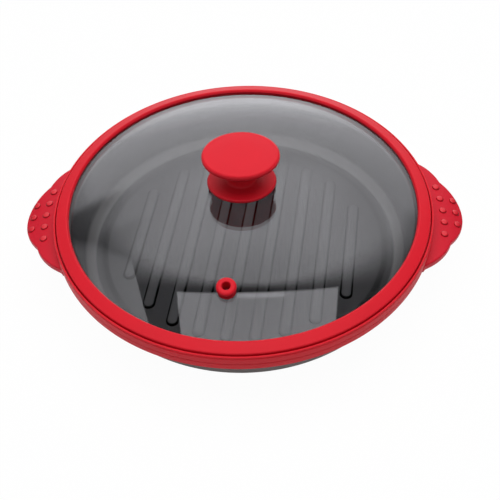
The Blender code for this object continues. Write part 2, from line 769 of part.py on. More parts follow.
def make_lid_glass(carrier, finish):
    """The domed glass with a hole for the knob's screw and one for the vent."""
    radii = [KNOB_HOLE_RADIUS + (GLASS_RADIUS - KNOB_HOLE_RADIUS) * step / GLASS_STEPS
             for step in range(GLASS_STEPS + 1)]
    upper = [(radius, glass_top(radius) - SEAT_LEVEL, 0) for radius in radii]
    lower = [(radius, glass_bottom(radius) - SEAT_LEVEL, 0) for radius in reversed(radii)]
    glass = lid_part("lid_glass", upper + lower, RING_STEPS, finish, carrier)
    hole = cylinder_cutter("vent_hole", VENT_HOLE_RADIUS, -2 * GLASS_THICKNESS, GLASS_THICKNESS, SMALL_STEPS)
    hole.matrix_world = vent_place()
    combine(glass, hole, "DIFFERENCE")
    return glass


def vent_place():
    """The vent's place on the glass: Z along the glass's normal, from its upper face."""
    lean = math.asin(VENT_CIRCLE_RADIUS / GLASS_DOME_RADIUS)
    spot = Vector((VENT_CIRCLE_RADIUS, 0.0, glass_top(VENT_CIRCLE_RADIUS)))
    turn = Matrix.Rotation(VENT_TURN, 4, "Z")
    return turn @ Matrix.Translation(spot) @ Matrix.Rotation(lean, 4, "Y")


def make_vent_grommet(carrier, finish):
    """The silicone grommet that lines the steam vent."""
    waist = VENT_HOLE_RADIUS - CLEARANCE
    under = -GLASS_THICKNESS - CLEARANCE
    corners = [
        (VENT_BORE_RADIUS, VENT_HEAD_HEIGHT, VENT_MOUTH_ROUND),
        (VENT_HEAD_RADIUS, VENT_HEAD_HEIGHT, VENT_HEAD_ROUND),
        (VENT_HEAD_RADIUS, CLEARANCE, VENT_BASE_ROUND),
        (waist, CLEARANCE, 0),
        (waist, under, 0),
        (VENT_FOOT_RADIUS, under, 0),
        (VENT_FOOT_RADIUS, under - VENT_FOOT_HEIGHT, VENT_FOOT_ROUND),
        (VENT_BORE_RADIUS, under - VENT_FOOT_HEIGHT, 0),
    ]
    grommet = turned_part("vent_grommet", corners, SMALL_STEPS, finish, carrier)
    grommet.matrix_world = vent_place()
    return grommet


def draw_in(part):
    """Make a turned piece of the knob oval: narrower along Y outside its round middle."""
    bpy.context.view_layer.update()
    turned = part.evaluated_get(bpy.context.evaluated_depsgraph_get())
    mesh = bpy.data.meshes.new_from_object(turned)
    part.modifiers.clear()
    part.data = mesh
    for vertex in mesh.vertices:
        outside = math.hypot(vertex.co.x, vertex.co.y) - OVAL_START_RADIUS
        share = max(outside, 0.0) / (CAP_RADIUS - OVAL_START_RADIUS)
        vertex.co.y *= 1 - (1 - KNOB_OVAL) * share


def make_knob_cap(carrier, finish):
    """The cap: a flat disc on a waist, hollow for the core."""
    half_edge = CAP_EDGE_THICKNESS / 2
    cap_bottom = CAP_MIDDLE - half_edge
    cavity_bottom = CORE_DISC_BOTTOM - CLEARANCE
    cavity_radius = CORE_DISC_RADIUS + CLEARANCE
    corners = [
        (0.0, CAP_MIDDLE + half_edge + CAP_CROWN, 0),
        (CAP_RADIUS / 2, CAP_MIDDLE + half_edge + CAP_CROWN * 3 / 4, 0),
        (CAP_RADIUS, CAP_MIDDLE + half_edge, half_edge),
        (CAP_RADIUS, cap_bottom, half_edge * EDGE_ROUNDING),
        (CAP_BEND_RADIUS, cap_bottom - CAP_BEND_DROP, CAP_BEND_FILLET),
        (WAIST_RADIUS, cap_bottom - CAP_UNDERCUT, CAP_UNDERCUT),
        (WAIST_RADIUS, KNOB_SEAM + CLEARANCE, 0),
        (STEM_BORE_RADIUS, KNOB_SEAM + CLEARANCE, 0),
        (STEM_BORE_RADIUS, cavity_bottom, 0),
        (cavity_radius, cavity_bottom, 0),
        (cavity_radius, CAP_MIDDLE + CLEARANCE, 0),
        (0.0, CAP_MIDDLE + CLEARANCE, 0),
    ]
    draw_in(lid_part("knob_cap", corners, KNOB_STEPS, finish, carrier, closed=False))


def make_knob_skirt(carrier, finish):
    """The skirt: a flange under the waist, with a pocket for the gasket."""
    half_edge = SKIRT_EDGE_THICKNESS / 2
    edge_top = LID_CROWN + SKIRT_MIDDLE_HEIGHT + half_edge
    edge_bottom = edge_top - SKIRT_EDGE_THICKNESS
    corners = [
        (STEM_BORE_RADIUS, KNOB_SEAM, 0),
        (WAIST_RADIUS, KNOB_SEAM, 0),
        (WAIST_RADIUS, edge_top + SKIRT_FLARE, SKIRT_FLARE),
        (SKIRT_BEND_RADIUS, edge_top, SKIRT_BEND_FILLET),
        (SKIRT_RADIUS, edge_top, half_edge),
        (SKIRT_RADIUS, edge_bottom, half_edge * EDGE_ROUNDING),
        (POCKET_RADIUS, edge_bottom, 0),
        (POCKET_RADIUS, KNOB_SEAT, 0),
        (STEM_BORE_RADIUS, KNOB_SEAT, 0),
    ]
    draw_in(lid_part("knob_skirt", corners, KNOB_STEPS, finish, carrier))


def make_knob_core(carrier, finish):
    """The stiff core: a plate inside the cap, on a stem that holds the insert."""
    socket_radius = INSERT_RADIUS + CLEARANCE
    socket_top = KNOB_SEAT + INSERT_LENGTH + 2 * CLEARANCE
    corners = [
        (0.0, CAP_MIDDLE, 0),
        (CORE_DISC_RADIUS, CAP_MIDDLE, 0),
        (CORE_DISC_RADIUS, CORE_DISC_BOTTOM, 0),
        (CORE_STEM_RADIUS, CORE_DISC_BOTTOM, 0),
        (CORE_STEM_RADIUS, KNOB_SEAT, 0),
        (socket_radius, KNOB_SEAT, 0),
        (socket_radius, socket_top, 0),
        (0.0, socket_top, 0),
    ]
    draw_in(lid_part("knob_core", corners, KNOB_STEPS, finish, carrier, closed=False))


def make_thread_insert(carrier, finish):
    """The insert that the screw is turned into."""
    bottom = KNOB_SEAT + CLEARANCE
    corners = [
        (SCREW_BORE_RADIUS, bottom + INSERT_LENGTH, 0),
        (INSERT_RADIUS, bottom + INSERT_LENGTH, 0),
        (INSERT_RADIUS, bottom, 0),
        (SCREW_BORE_RADIUS, bottom, 0),
    ]
    lid_part("thread_insert", corners, SMALL_STEPS, finish, carrier)


def make_knob_gasket(carrier, finish):
    """The gasket between knob and glass, with a sleeve in the glass's hole."""
    sleeve_radius = KNOB_HOLE_RADIUS - CLEARANCE
    corners = [
        (SCREW_BORE_RADIUS, GASKET_TOP, 0),
        (GASKET_RADIUS, GASKET_TOP, 0),
        (GASKET_RADIUS, LID_CROWN + CLEARANCE, 0),
        (sleeve_radius, LID_CROWN + CLEARANCE, 0),
        (sleeve_radius, LID_CROWN - GLASS_THICKNESS, 0),
        (SCREW_BORE_RADIUS, LID_CROWN - GLASS_THICKNESS, 0),
    ]
    lid_part("knob_gasket", corners, SMALL_STEPS, finish, carrier)


def make_lower_gasket(carrier, finish):
    """The soft washer under the glass."""
    corners = washer_corners(LOWER_GASKET_RADIUS, LOWER_GASKET_TOP, GASKET_THICKNESS)
    lid_part("lower_gasket", corners, SMALL_STEPS, finish, carrier)


def make_screw_washer(carrier, finish):
    """The steel washer between the soft washer and the screw's head."""
    corners = washer_corners(WASHER_RADIUS, WASHER_TOP, WASHER_THICKNESS)
    lid_part("screw_washer", corners, SMALL_STEPS, finish, carrier)


def make_knob_screw(carrier, finish):
    """The screw that comes up through the glass, with a slot in its round head."""
    head_bottom = SCREW_HEAD_TOP - SCREW_HEAD_HEIGHT
    screw_top = min(LID_CROWN + SCREW_REACH, KNOB_SEAT + CLEARANCE + INSERT_LENGTH)
    corners = [
        (0.0, screw_top, 0),
        (SCREW_RADIUS - SCREW_TIP_CHAMFER, screw_top, 0),
        (SCREW_RADIUS, screw_top - SCREW_TIP_CHAMFER, 0),
        (SCREW_RADIUS, SCREW_HEAD_TOP, 0),
        (SCREW_HEAD_RADIUS, SCREW_HEAD_TOP, 0),
        (SCREW_HEAD_RADIUS, head_bottom, SCREW_HEAD_ROUND),
        (0.0, head_bottom, 0),
    ]
    screw = lid_part("knob_screw", corners, SMALL_STEPS, finish, carrier, closed=False)
    combine(screw, make_screw_slot(SEAT_LEVEL + head_bottom), "DIFFERENCE")


def washer_corners(outer_radius, top, thickness):
    """The section of a flat washer on the screw."""
    return [
        (SCREW_BORE_RADIUS, top, 0),
        (outer_radius, top, 0),
        (outer_radius, top - thickness, 0),
        (SCREW_BORE_RADIUS, top - thickness, 0),
    ]


def make_screw_slot(level):
    """The slot across the screw's head."""
    slot = bmesh.new()
    size = Matrix.Diagonal((SLOT_LENGTH, SLOT_WIDTH, 2 * SLOT_DEPTH, 1.0))
    bmesh.ops.create_cube(slot, size=1.0, matrix=size)
    mesh = bpy.data.meshes.new("screw_slot")
    slot.to_mesh(mesh)
    slot.free()
    cutter = add_cutter("screw_slot", mesh)
    cutter.location = (0, 0, level)
    return cutter


def make_finishes():
    """One material for each finish of the object."""
    red = (0.640, 0.021, 0.032)
    return {
        "pan": make_material("nonstick_aluminium", (0.045, 0.045, 0.048), 0.45, 0.3),
        "layer": make_material("heating_compound", (0.030, 0.028, 0.028), 0.85),
        "foot": make_material("foot_silicone", (0.060, 0.060, 0.062), 0.75),
        "silicone_collar": make_material("collar_silicone", red, 0.50),
        "silicone_rim": make_material("rim_silicone", red, 0.50),
        "silicone_vent": make_material("vent_silicone", red, 0.50),
        "silicone_knob": make_material("knob_silicone", red, 0.55),
        "silicone_skirt": make_material("skirt_silicone", red, 0.50),
        "glass": make_material("tempered_glass", (0.90, 0.93, 0.92), 0.03, 0.0, 0.3),
        "core": make_material("knob_core_plastic", (0.020, 0.020, 0.022), 0.60),
        "brass": make_material("insert_brass", (0.600, 0.430, 0.180), 0.30, 1.0),
        "gasket": make_material("gasket_silicone", (0.550, 0.560, 0.560), 0.60),
        "steel": make_material("stainless_steel", (0.560, 0.560, 0.570), 0.28, 1.0),
    }


def main():
    """Build every sub-part."""
    clear_scene()
    finishes = make_finishes()
    base = pan_carrier()
    lid = lid_carrier()
    make_pan(base, finishes["pan"])
    make_heating_layer(base, finishes["layer"])
    make_feet(base, finishes["foot"])
    make_collar(base, finishes["silicone_collar"])
    make_lid_glass(lid, finishes["glass"])
    make_lid_rim(lid, finishes["silicone_rim"])
    make_vent_grommet(lid, finishes["silicone_vent"])
    make_knob_cap(lid, finishes["silicone_knob"])
    make_knob_skirt(lid, finishes["silicone_skirt"])
    make_knob_core(lid, finishes["core"])
    make_thread_insert(lid, finishes["brass"])
    make_knob_gasket(lid, finishes["gasket"])
    make_lower_gasket(lid, finishes["gasket"])
    make_screw_washer(lid, finishes["steel"])
    make_knob_screw(lid, finishes["steel"])


main()
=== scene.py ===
"""The looks of a microwave grill pan with a domed glass lid.

Each operator makes one group of pieces round the fixed frame of solids: the ribbed pan, its base,
the silicone collar with its handles, and the lid with its rim, vent and knob. The last operator
makes the studio. Lengths are in metres, +Z is up, and the handles lie along X.
"""

import json
import math

import bmesh
import bpy
from bpy.props import FloatProperty, FloatVectorProperty, IntProperty, PointerProperty
from mathutils import Matrix, Vector

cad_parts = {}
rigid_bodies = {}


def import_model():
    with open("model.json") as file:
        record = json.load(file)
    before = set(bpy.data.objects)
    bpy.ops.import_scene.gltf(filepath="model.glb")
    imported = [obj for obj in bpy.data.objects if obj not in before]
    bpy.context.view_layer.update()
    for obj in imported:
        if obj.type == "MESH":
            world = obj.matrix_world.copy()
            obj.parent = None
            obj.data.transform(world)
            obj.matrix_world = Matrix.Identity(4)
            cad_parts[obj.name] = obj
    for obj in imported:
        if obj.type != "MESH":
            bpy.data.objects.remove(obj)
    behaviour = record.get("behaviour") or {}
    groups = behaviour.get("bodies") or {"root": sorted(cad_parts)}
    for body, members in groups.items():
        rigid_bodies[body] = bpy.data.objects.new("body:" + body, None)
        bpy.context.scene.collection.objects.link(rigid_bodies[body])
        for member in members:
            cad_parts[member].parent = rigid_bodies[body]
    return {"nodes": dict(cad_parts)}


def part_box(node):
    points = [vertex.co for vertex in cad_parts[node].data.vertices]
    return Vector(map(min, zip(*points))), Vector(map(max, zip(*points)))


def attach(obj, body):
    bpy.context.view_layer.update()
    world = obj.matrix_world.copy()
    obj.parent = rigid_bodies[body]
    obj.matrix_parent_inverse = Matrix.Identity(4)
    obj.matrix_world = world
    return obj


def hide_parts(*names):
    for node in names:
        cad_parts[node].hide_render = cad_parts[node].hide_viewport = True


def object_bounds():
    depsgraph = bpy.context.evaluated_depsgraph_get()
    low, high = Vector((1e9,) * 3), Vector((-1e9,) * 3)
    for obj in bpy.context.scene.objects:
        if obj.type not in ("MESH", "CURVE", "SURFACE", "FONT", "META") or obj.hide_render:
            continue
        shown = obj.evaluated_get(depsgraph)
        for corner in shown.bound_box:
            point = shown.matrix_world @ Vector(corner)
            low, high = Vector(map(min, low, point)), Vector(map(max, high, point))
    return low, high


bl_info = {
    "name": "Microwave grill pan",
    "version": (1, 0, 0),
    "blender": (4, 5, 0),
    "location": "3D View > Sidebar > Grill pan",
    "description": "Builds the finished pieces of a ribbed microwave pan and its glass lid",
    "category": "Add Mesh",
}

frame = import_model()
CAD_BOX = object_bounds()

PAN_LOW, PAN_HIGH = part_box("pan_body")
LAYER_LOW, LAYER_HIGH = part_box("heating_layer")
FOOT_LOW, FOOT_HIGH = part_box("foot_1")
COLLAR_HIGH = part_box("silicone_collar")[1]
RIM_LOW, RIM_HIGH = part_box("lid_rim")
GLASS_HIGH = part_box("lid_glass")[1]
CAP_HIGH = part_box("knob_cap")[1]
SKIRT_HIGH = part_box("knob_skirt")[1]
CORE_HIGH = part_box("knob_core")[1]
GASKET_LOW, GASKET_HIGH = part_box("knob_gasket")
LOWER_GASKET_LOW, LOWER_GASKET_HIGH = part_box("lower_gasket")
WASHER_LOW, WASHER_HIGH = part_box("screw_washer")
SCREW_LOW, SCREW_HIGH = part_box("knob_screw")

MERGE_DISTANCE = 0.000001
CLEARANCE = 0.0003
LEFT_TURN = math.pi

RING_STEPS = 240
KNOB_STEPS = 128
SMALL_STEPS = 64
DOME_RINGS = 72
HANDLE_STRIPS = 18
HANDLE_EDGE_STEPS = 6
ARC_STEP = math.radians(9)
OUTLINE_STEP = math.radians(3)
CREASE_ANGLE = math.radians(38)

# Segments and rings of a rounded button, and how square it is
RIB_FACES, RIB_SQUARENESS = (48, 40), 2.9
STUD_FACES, STUD_SQUARENESS = (28, 20), 3.0

# Colour, roughness, (grain scale, speckle, cloud, spread of roughness, bump height) and metal
SILICONE_GRAIN = (2600.0, 0.03, 0.03, 0.08, 0.000006)
COATING_GRAIN = (1100.0, 0.04, 0.04, 0.08, 0.0)
ENAMEL_GRAIN = (1800.0, 0.10, 0.05, 0.08, 0.00001)
HIDDEN_FINISHES = {
    "heating_compound": ((0.030, 0.028, 0.028), 0.62, (900.0, 0.35, 0.10, 0.10, 0.00004)),
    "foot_rubber": ((0.060, 0.060, 0.062), 0.60, (2200.0, 0.08, 0.05, 0.08, 0.00001)),
    "core_plastic": ((0.020, 0.020, 0.022), 0.48, (1800.0, 0.10, 0.05, 0.06, 0.00001)),
    "turned_brass": ((0.600, 0.430, 0.180), 0.28, (1200.0, 0.06, 0.08, 0.10, 0.00001), 1.0),
    "gasket_silicone": ((0.550, 0.560, 0.560), 0.50, (2200.0, 0.03, 0.03, 0.06, 0.000008)),
    "bright_steel": ((0.560, 0.560, 0.570), 0.22, (1600.0, 0.04, 0.05, 0.10, 0.000006), 1.0),
}
CLOUD_SCALE = 35.0
NOISE_SPAN = (0.3, 0.7)

# Painted shade and highlight by the way a face leans: level to steep, and inward (below 0) to outward
# Painted shade down the studs' sides, by how steep a face is
STUD_SHADE_SLOPES = {"Level": 0.985, "Steep": 0.80, "Darkest": 0.45}
INWARD_TILT = (-0.15, -0.35)
UPRIGHT_TILT = (-0.75, -0.95)
OUTWARD_TILT = (0.05, 0.20)
# Painted shade of the handles: a darker, bluer tint of the red silicone
HANDLE_SHADE = (0.87, 0.90, 1.10)
# Painted highlight colour of the fillet and flare, and the share of painted shade on the channel's slope
FILLET_HIGHLIGHT = (0.085, 0.083, 0.085)
SLOPE_SHADE = 0.3

# The surroundings, by their slopes across and along from straight up
WHITE = (1.0, 1.0, 1.0)
STUDIO_TINT = (0.955, 0.950, 1.0)
LOWEST_SKY = 0.05
PANEL_SOFTNESS = 0.008
BACKDROP_DARK = (0.285, 0.36)
BACKDROP_BRIGHT = (0.335, 1.20)
HORIZON_RISE = (2.8, 5.0)
FRONT_RISE = (-1.2, -2.0)
SOFTBOX_EDGE = (0.276, 0.45, 0.03)
STREAK_ACROSS = (-0.06, 0.14)
STREAK_WIDTH = 0.032
STREAK_LEVEL = 1.1
# Share of the slope across, share of the slope along, limit of their sum, softness
SOFTBOX_BORDERS = ((-1.0, -0.125, 0.262), (1.0, -0.10, 0.327), (0.0, -1.0, 0.90))
SIDE_PANEL_INNER = (1.0, 0.31, -0.356)
SIDE_PANEL_UPPER = (0.72, 1.0, 0.30, 0.20)
SIDE_FADE = (-0.48, -0.85, 1.0, 0.52)
# Lowest and highest slope across, then along, softness, strength
BACKDROP_GLOW = (-0.55, 0.60, 0.30, 1.50, 0.34, 0.36)
BACKDROP_GAPS = (
    (-1.35, -0.62, 0.30, 1.40, 0.22, 0.66),
    (-0.92, -0.44, 0.30, 0.95, 0.20, 0.35),
    (0.78, 1.35, 0.30, 1.20, 0.22, 0.55),
)

FLOOR_SIZE = 3.0
FLOOR_GAP = 0.0001
FLOOR_COLOUR = (0.88, 0.88, 0.88)
FLOOR_GLOW = 0.97
LAMP_SIZE = (1.6, 1.3)
LAMP_PLACE = (0.05, 0.10, 1.25)
SENSOR_WIDTH = 36.0
CLIP_START = 0.01


def metres(name, default, about):
    """A setting that is a length."""
    return FloatProperty(name=name, description=about, default=default, unit="LENGTH")


def degrees(name, default, about):
    """A setting that is an angle."""
    return FloatProperty(name=name, description=about, default=math.radians(default), subtype="ANGLE")


def number(name, default, about, **limits):
    """A setting that is a plain number."""
    return FloatProperty(name=name, description=about, default=default, **limits)


def share(name, default, about):
    """A setting from 0 to 1."""
    return FloatProperty(name=name, description=about, default=default, min=0.0, max=1.0, subtype="FACTOR")


def whole(name, default, about, **limits):
    """A setting that counts pieces."""
    return IntProperty(name=name, description=about, default=default, **limits)


def tint(name, default, about):
    """A setting that is a colour."""
    return FloatVectorProperty(name=name, description=about, default=default, subtype="COLOR", min=0.0,
                               max=1.0)


class GrillPanSizes(bpy.types.PropertyGroup):
    """Sizes of the pan, its ribs and its base."""

    wall: metres("Wall", 0.0024, "Thickness of the pan's wall")
    floor: metres("Floor", 0.0025, "Thickness of the pan's floor")
    lip_width: metres("Lip width", 0.0017, "Width of the pan's flat lip")
    flare_width: metres("Flare width", 0.0061, "How far the flare widens the pan")
    flare_height: metres("Flare height", 0.0056, "Height of the flare under the lip")
    wall_run: metres("Wall run", 0.0057, "How far the wall leans out from floor to flare")
    fillet: metres("Fillet", 0.0100, "Radius between floor and wall inside")
    channel_slope: metres("Channel slope", 0.0038, "Width of the slope down to the channel's foot")
    channel_depth: metres("Channel depth", 0.0009, "Depth of the channel round the ribs")
    rib_count: whole("Ribs", 9, "Number of ribs", min=1)
    rib_pitch: metres("Rib pitch", 0.01775, "From the middle of one rib to the next")
    rib_width: metres("Rib width", 0.0083, "Width of a rib")
    rib_height: metres("Rib height", 0.0015, "Height of a rib over the floor")
    rib_field_inset: metres(
        "Rib field inset", 0.0117, "From the channel's edge to the circle of the ribs' ends"
    )
    rib_turn: degrees("Rib turn", -7.3, "How far the ribs are turned against the handles")


class CollarSizes(bpy.types.PropertyGroup):
    """Sizes of the silicone collar and its handles."""

    lip_thickness: metres("Lip thickness", 0.0011, "Thickness of the upright lip")
    lip_height: metres("Lip height", 0.0040, "Height of the lip over the ledge")
    ledge_width: metres("Ledge width", 0.0014, "How far the ledge reaches in over the pan's lip")
    belly: metres("Belly", 0.0005, "How far the face swells out below the lip")
    face_height: metres("Face height", 0.0061, "From the lip's top to the band")
    band_step: metres("Band step", 0.0004, "How far the lower band is set back")
    skirt: metres("Skirt", 0.0062, "From the pan's lip to the collar's bottom")
    tip_lobe: metres("Tip lobe", 0.0389, "Radius of a handle's end")
    side_lobe: metres("Side lobe", 0.0366, "Radius of a handle's sides")
    side_lobe_inset: metres("Side lobe inset", 0.0250, "From the collar's face in to the side lobes' centres")
    side_lobe_spread: metres("Side lobe spread", 0.0149, "From the handle's axis to a side lobe's centre")
    root_fillet: metres("Root fillet", 0.0060, "Radius where a handle meets the collar")
    handle_thickness: metres("Handle thickness", 0.0048, "Thickness of a handle at its root")
    handle_edge: metres("Handle edge", 0.0019, "Rounding of a handle's edge")
    handle_drop: metres("Handle drop", 0.0035, "From the pan's lip down to a handle's top")
    droop_inset: metres("Droop inset", 0.0046, "From the collar's face in to where the droop starts")
    droop: number("Droop", 6.5, "Bend of the handle's middle, per metre squared")
    thinning: number("Thinning", 2.0, "Loss of half thickness, per metre squared")
    stud_radius: metres("Stud radius", 0.0025, "Radius of a grip stud")
    stud_height: metres("Stud height", 0.0010, "Height of a grip stud")
    stud_spacing: metres("Stud spacing", 0.0107, "Distance along a row of studs")
    inner_studs: whole("Inner studs", 5, "Studs in the inner row")
    outer_studs: whole("Outer studs", 3, "Studs in the outer row")
    inner_stud_offset: metres("Inner row", 0.0076, "From the collar's face to the inner row")
    outer_stud_offset: metres("Outer row", 0.0163, "From the collar's face to the outer row")


class LidSizes(bpy.types.PropertyGroup):
    """Sizes of the glass, its rim and the steam vent."""

    glass_thickness: metres("Glass thickness", 0.0038, "Thickness of the glass")
    dome_radius: metres("Dome radius", 0.3980, "Radius of the glass's upper face")
    knob_hole: metres("Knob hole", 0.0040, "Radius of the hole under the knob")
    vent_hole: metres("Vent hole", 0.0042, "Radius of the hole for the grommet")
    vent_inset: metres("Vent inset", 0.0362, "From the glass's edge to the vent")
    vent_turn: degrees("Vent turn", -95.7, "Direction of the vent from the axis")
    vent_head: metres("Vent head", 0.00605, "Radius of the grommet's head")
    vent_head_height: metres("Vent head height", 0.0036, "Height of the grommet over the glass")
    vent_foot: metres("Vent foot", 0.0054, "Radius of the grommet's foot")
    vent_foot_height: metres("Vent foot height", 0.0016, "Height of the grommet's foot")
    vent_bore: metres("Vent bore", 0.00255, "Radius of the steam hole")
    rim_width: metres("Rim width", 0.0083, "Width of the rim's top")
    rim_edge_height: metres("Rim edge height", 0.0047, "Height of the rim's outer edge")
    ridge_inset: metres("Ridge inset", 0.0069, "From the rim's outer edge to its ridge")
    shoulder_drop: metres("Shoulder drop", 0.0015, "Depth of the rim's inner shoulder")
    grip_depth: metres("Grip depth", 0.0018, "How far the rim reaches under the glass")


class KnobSizes(bpy.types.PropertyGroup):
    """Sizes of the knob and the screw that holds it."""

    cap_middle: metres("Cap middle", 0.0225, "From the glass's crown to the middle of the cap's edge")
    cap_edge: metres("Cap edge", 0.0040, "Thickness of the cap's edge")
    cap_crown: metres("Cap crown", 0.0005, "How far the cap's top swells")
    cap_undercut: metres("Cap undercut", 0.0030, "Height of the hollow under the cap")
    waist_radius: metres("Waist radius", 0.0096, "Radius of the knob's waist")
    seam_height: metres("Seam height", 0.0095, "From the glass's crown to the seam in the waist")
    skirt_middle: metres("Skirt middle", 0.0017, "From the glass's crown to the middle of the skirt's edge")
    skirt_edge: metres("Skirt edge", 0.0026, "Thickness of the skirt's edge")
    oval_start: metres("Oval start", 0.0100, "Radius of the knob's round middle")
    stem_bore: metres("Stem bore", 0.0068, "Radius of the hole for the core's stem")
    screw_radius: metres("Screw radius", 0.0020, "Outer radius of the screw's thread")
    screw_pitch: metres("Screw pitch", 0.0007, "Pitch of the screw's thread")


class PanFinishes(bpy.types.PropertyGroup):
    """Colours and gloss of the surfaces."""

    silicone: tint("Silicone", (0.660, 0.010, 0.022), "Colour of the red silicone")
    silicone_roughness: share("Silicone roughness", 0.42, "Roughness of the red silicone")
    coating: tint("Coating", (0.012, 0.0115, 0.0125), "Colour of the non-stick coating")
    outer_wall: tint("Outer wall", (0.230, 0.215, 0.205), "Colour of the pan's outside")
    glass_tint: tint("Glass tint", (0.972, 0.978, 0.975), "Colour of light through the glass")
    glass_ior: number("Glass IOR", 1.52, "Index of refraction of the glass", min=1.0, max=2.0)


class StudioLook(bpy.types.PropertyGroup):
    """The camera and the light."""

    camera_place: FloatVectorProperty(
        name="Camera place", description="Where the camera stands", subtype="TRANSLATION",
        default=(0.01946, -0.40003, 0.44746),
    )
    camera_heading: degrees("Heading", 2.3, "Turn of the camera about the vertical")
    camera_pitch: degrees("Pitch", 41.93, "Turn of the camera up from straight down")
    camera_roll: degrees("Roll", -2.35, "Turn of the camera about its own axis")
    camera_lens: number("Lens", 62.74, "Focal length in millimetres")
    top_light: number("Top light", 17.0, "Power of the overhead lamp in watts")
    fill_light: number("Fill light", 0.22, "Strength of the surroundings on matt surfaces")
    backdrop_level: number("Backdrop level", 1.50, "Strength of the backdrop in reflections")
    horizon_level: number("Horizon level", 2.05, "Strength of the backdrop near the horizon")
    softbox_level: number("Softbox level", 1.78, "Strength of the panel overhead in reflections")
    side_level: number("Side level", 1.22, "Strength of the panel at the left in reflections")
    front_level: number("Front level", 0.80, "Strength of the room behind the camera")


class Finished:
    """The radii and levels that the finished pieces share, from the frame and the sizes."""

    def __init__(self, context):
        settings = context.scene
        self.pan = settings.grill_pan_sizes
        self.collar = settings.grill_pan_collar
        self.lid = settings.grill_pan_lid
        self.knob = settings.grill_pan_knob
        self.finish = settings.grill_pan_finishes
        self.studio = settings.grill_pan_studio

        self.floor_top = PAN_LOW.z + self.pan.floor
        self.lip_top = PAN_HIGH.z
        self.lip_radius = PAN_HIGH.y
        self.flare_radius = self.lip_radius - self.pan.lip_width
        self.wall_radius = self.flare_radius - self.pan.flare_width
        self.floor_radius = self.wall_radius - self.pan.wall_run
        self.channel_foot = self.floor_radius - self.pan.fillet
        self.channel_radius = self.channel_foot - self.pan.channel_slope
        self.rib_field_radius = self.channel_radius - self.pan.rib_field_inset

        self.seat = COLLAR_HIGH.z
        self.collar_radius = COLLAR_HIGH.y
        self.lip_outer = self.collar_radius - self.collar.belly
        self.lip_inner = self.lip_outer - self.collar.lip_thickness
        self.ledge_top = self.seat - self.collar.lip_height
        self.handle_reach = COLLAR_HIGH.x
        self.handle_middle = self.lip_top - self.collar.handle_drop - self.collar.handle_thickness / 2
        self.droop_start = self.collar_radius - self.collar.droop_inset

        self.rim_radius = RIM_HIGH.y
        self.rim_inner = self.rim_radius - self.lid.rim_width
        self.glass_radius = GLASS_HIGH.y
        self.crown = GLASS_HIGH.z + self.glass_sag(self.lid.knob_hole, self.lid.dome_radius)
        self.vent_circle = self.glass_radius - self.lid.vent_inset

    @staticmethod
    def glass_sag(radius, sphere_radius):
        """How far a dome has fallen at a radius from its crown."""
        return sphere_radius - math.sqrt(sphere_radius ** 2 - radius ** 2)

    def glass_top(self, radius):
        """Height of the glass's upper face at a radius."""
        return self.crown - self.glass_sag(radius, self.lid.dome_radius)

    def glass_bottom(self, radius):
        """Height of the glass's lower face at a radius."""
        thickness = self.lid.glass_thickness
        return self.crown - thickness - self.glass_sag(radius, self.lid.dome_radius - thickness)


def arc_points(centre, start, end, arc_step=ARC_STEP):
    """Points along the shorter arc from start to end about a centre."""
    first = start - centre
    last = end - centre
    begin = math.atan2(first.y, first.x)
    turn = math.atan2(last.y, last.x) - begin
    turn = (turn + math.pi) % (2 * math.pi) - math.pi
    steps = max(2, round(abs(turn) / arc_step))
    radius = first.length
    angles = [begin + turn * step / steps for step in range(steps + 1)]
    return [centre + radius * Vector((math.cos(a), math.sin(a))) for a in angles]


def rounded(corners, closed):
    """Points of a section whose corners (radius, height, fillet) are rounded by arcs."""
    points = []
    for index, (x, y, fillet) in enumerate(corners):
        here = Vector((x, y))
        is_end = not closed and index in (0, len(corners) - 1)
        if fillet == 0 or is_end:
            points.append(here)
            continue
        back = (Vector(corners[index - 1][:2]) - here).normalized()
        ahead = (Vector(corners[(index + 1) % len(corners)][:2]) - here).normalized()
        half_angle = back.angle(ahead) / 2
        reach = fillet / math.tan(half_angle)
        centre = here + (back + ahead).normalized() * fillet / math.sin(half_angle)
        points += arc_points(centre, here + back * reach, here + ahead * reach)
    return points


def line_meet(point_a, way_a, point_b, way_b):
    """Where two lines, each a point and a direction, cross."""
    along = (point_b - point_a).cross(way_b) / way_a.cross(way_b)
    return point_a + way_a * along


def offset_path(points, distances):
    """A path moved to its right-hand side, by one distance for each of its edges."""
    lines = []
    for start, end, distance in zip(points, points[1:], distances):
        way = (end - start).normalized()
        side = Vector((way.y, -way.x)) * distance
        lines.append((start + side, way, end + side))
    moved = [lines[0][0]]
    for (point_a, way_a, _), (point_b, way_b, _) in zip(lines, lines[1:]):
        moved.append(line_meet(point_a, way_a, point_b, way_b))
    moved.append(lines[-1][2])
    return moved


def path_above(points, height):
    """The stretch of a rising path above a height, from where it crosses that height."""
    stretch = [point for point in points if point.y > height]
    first = points.index(stretch[0])
    way = points[first] - points[first - 1]
    level = Vector((1.0, 0.0))
    return [line_meet(points[first], way, Vector((0.0, height)), level), *stretch]


def circle_meet(centre_a, radius_a, centre_b, radius_b):
    """The crossing of two circles that has the larger y."""
    between = centre_b - centre_a
    span = between.length
    along = (span ** 2 + radius_a ** 2 - radius_b ** 2) / (2 * span)
    height = math.sqrt(radius_a ** 2 - along ** 2)
    way = between / span
    across = Vector((-way.y, way.x)) * height
    middle = centre_a + way * along
    return max(middle + across, middle - across, key=lambda point: point.y)


def mirrored(point):
    """A point on the other side of the handles' axis."""
    return Vector((point.x, -point.y))


def new_object(name, mesh, *materials):
    """Link a mesh as an object that sits at the origin, with its materials."""
    thing = bpy.data.objects.new(name, mesh)
    bpy.context.scene.collection.objects.link(thing)
    for material in materials:
        mesh.materials.append(material)
    return thing


def shape_object(name, shape, *materials):
    """An object from an edited shape, which is used up."""
    mesh = bpy.data.meshes.new(name)
    shape.to_mesh(mesh)
    shape.free()
    return new_object(name, mesh, *materials)


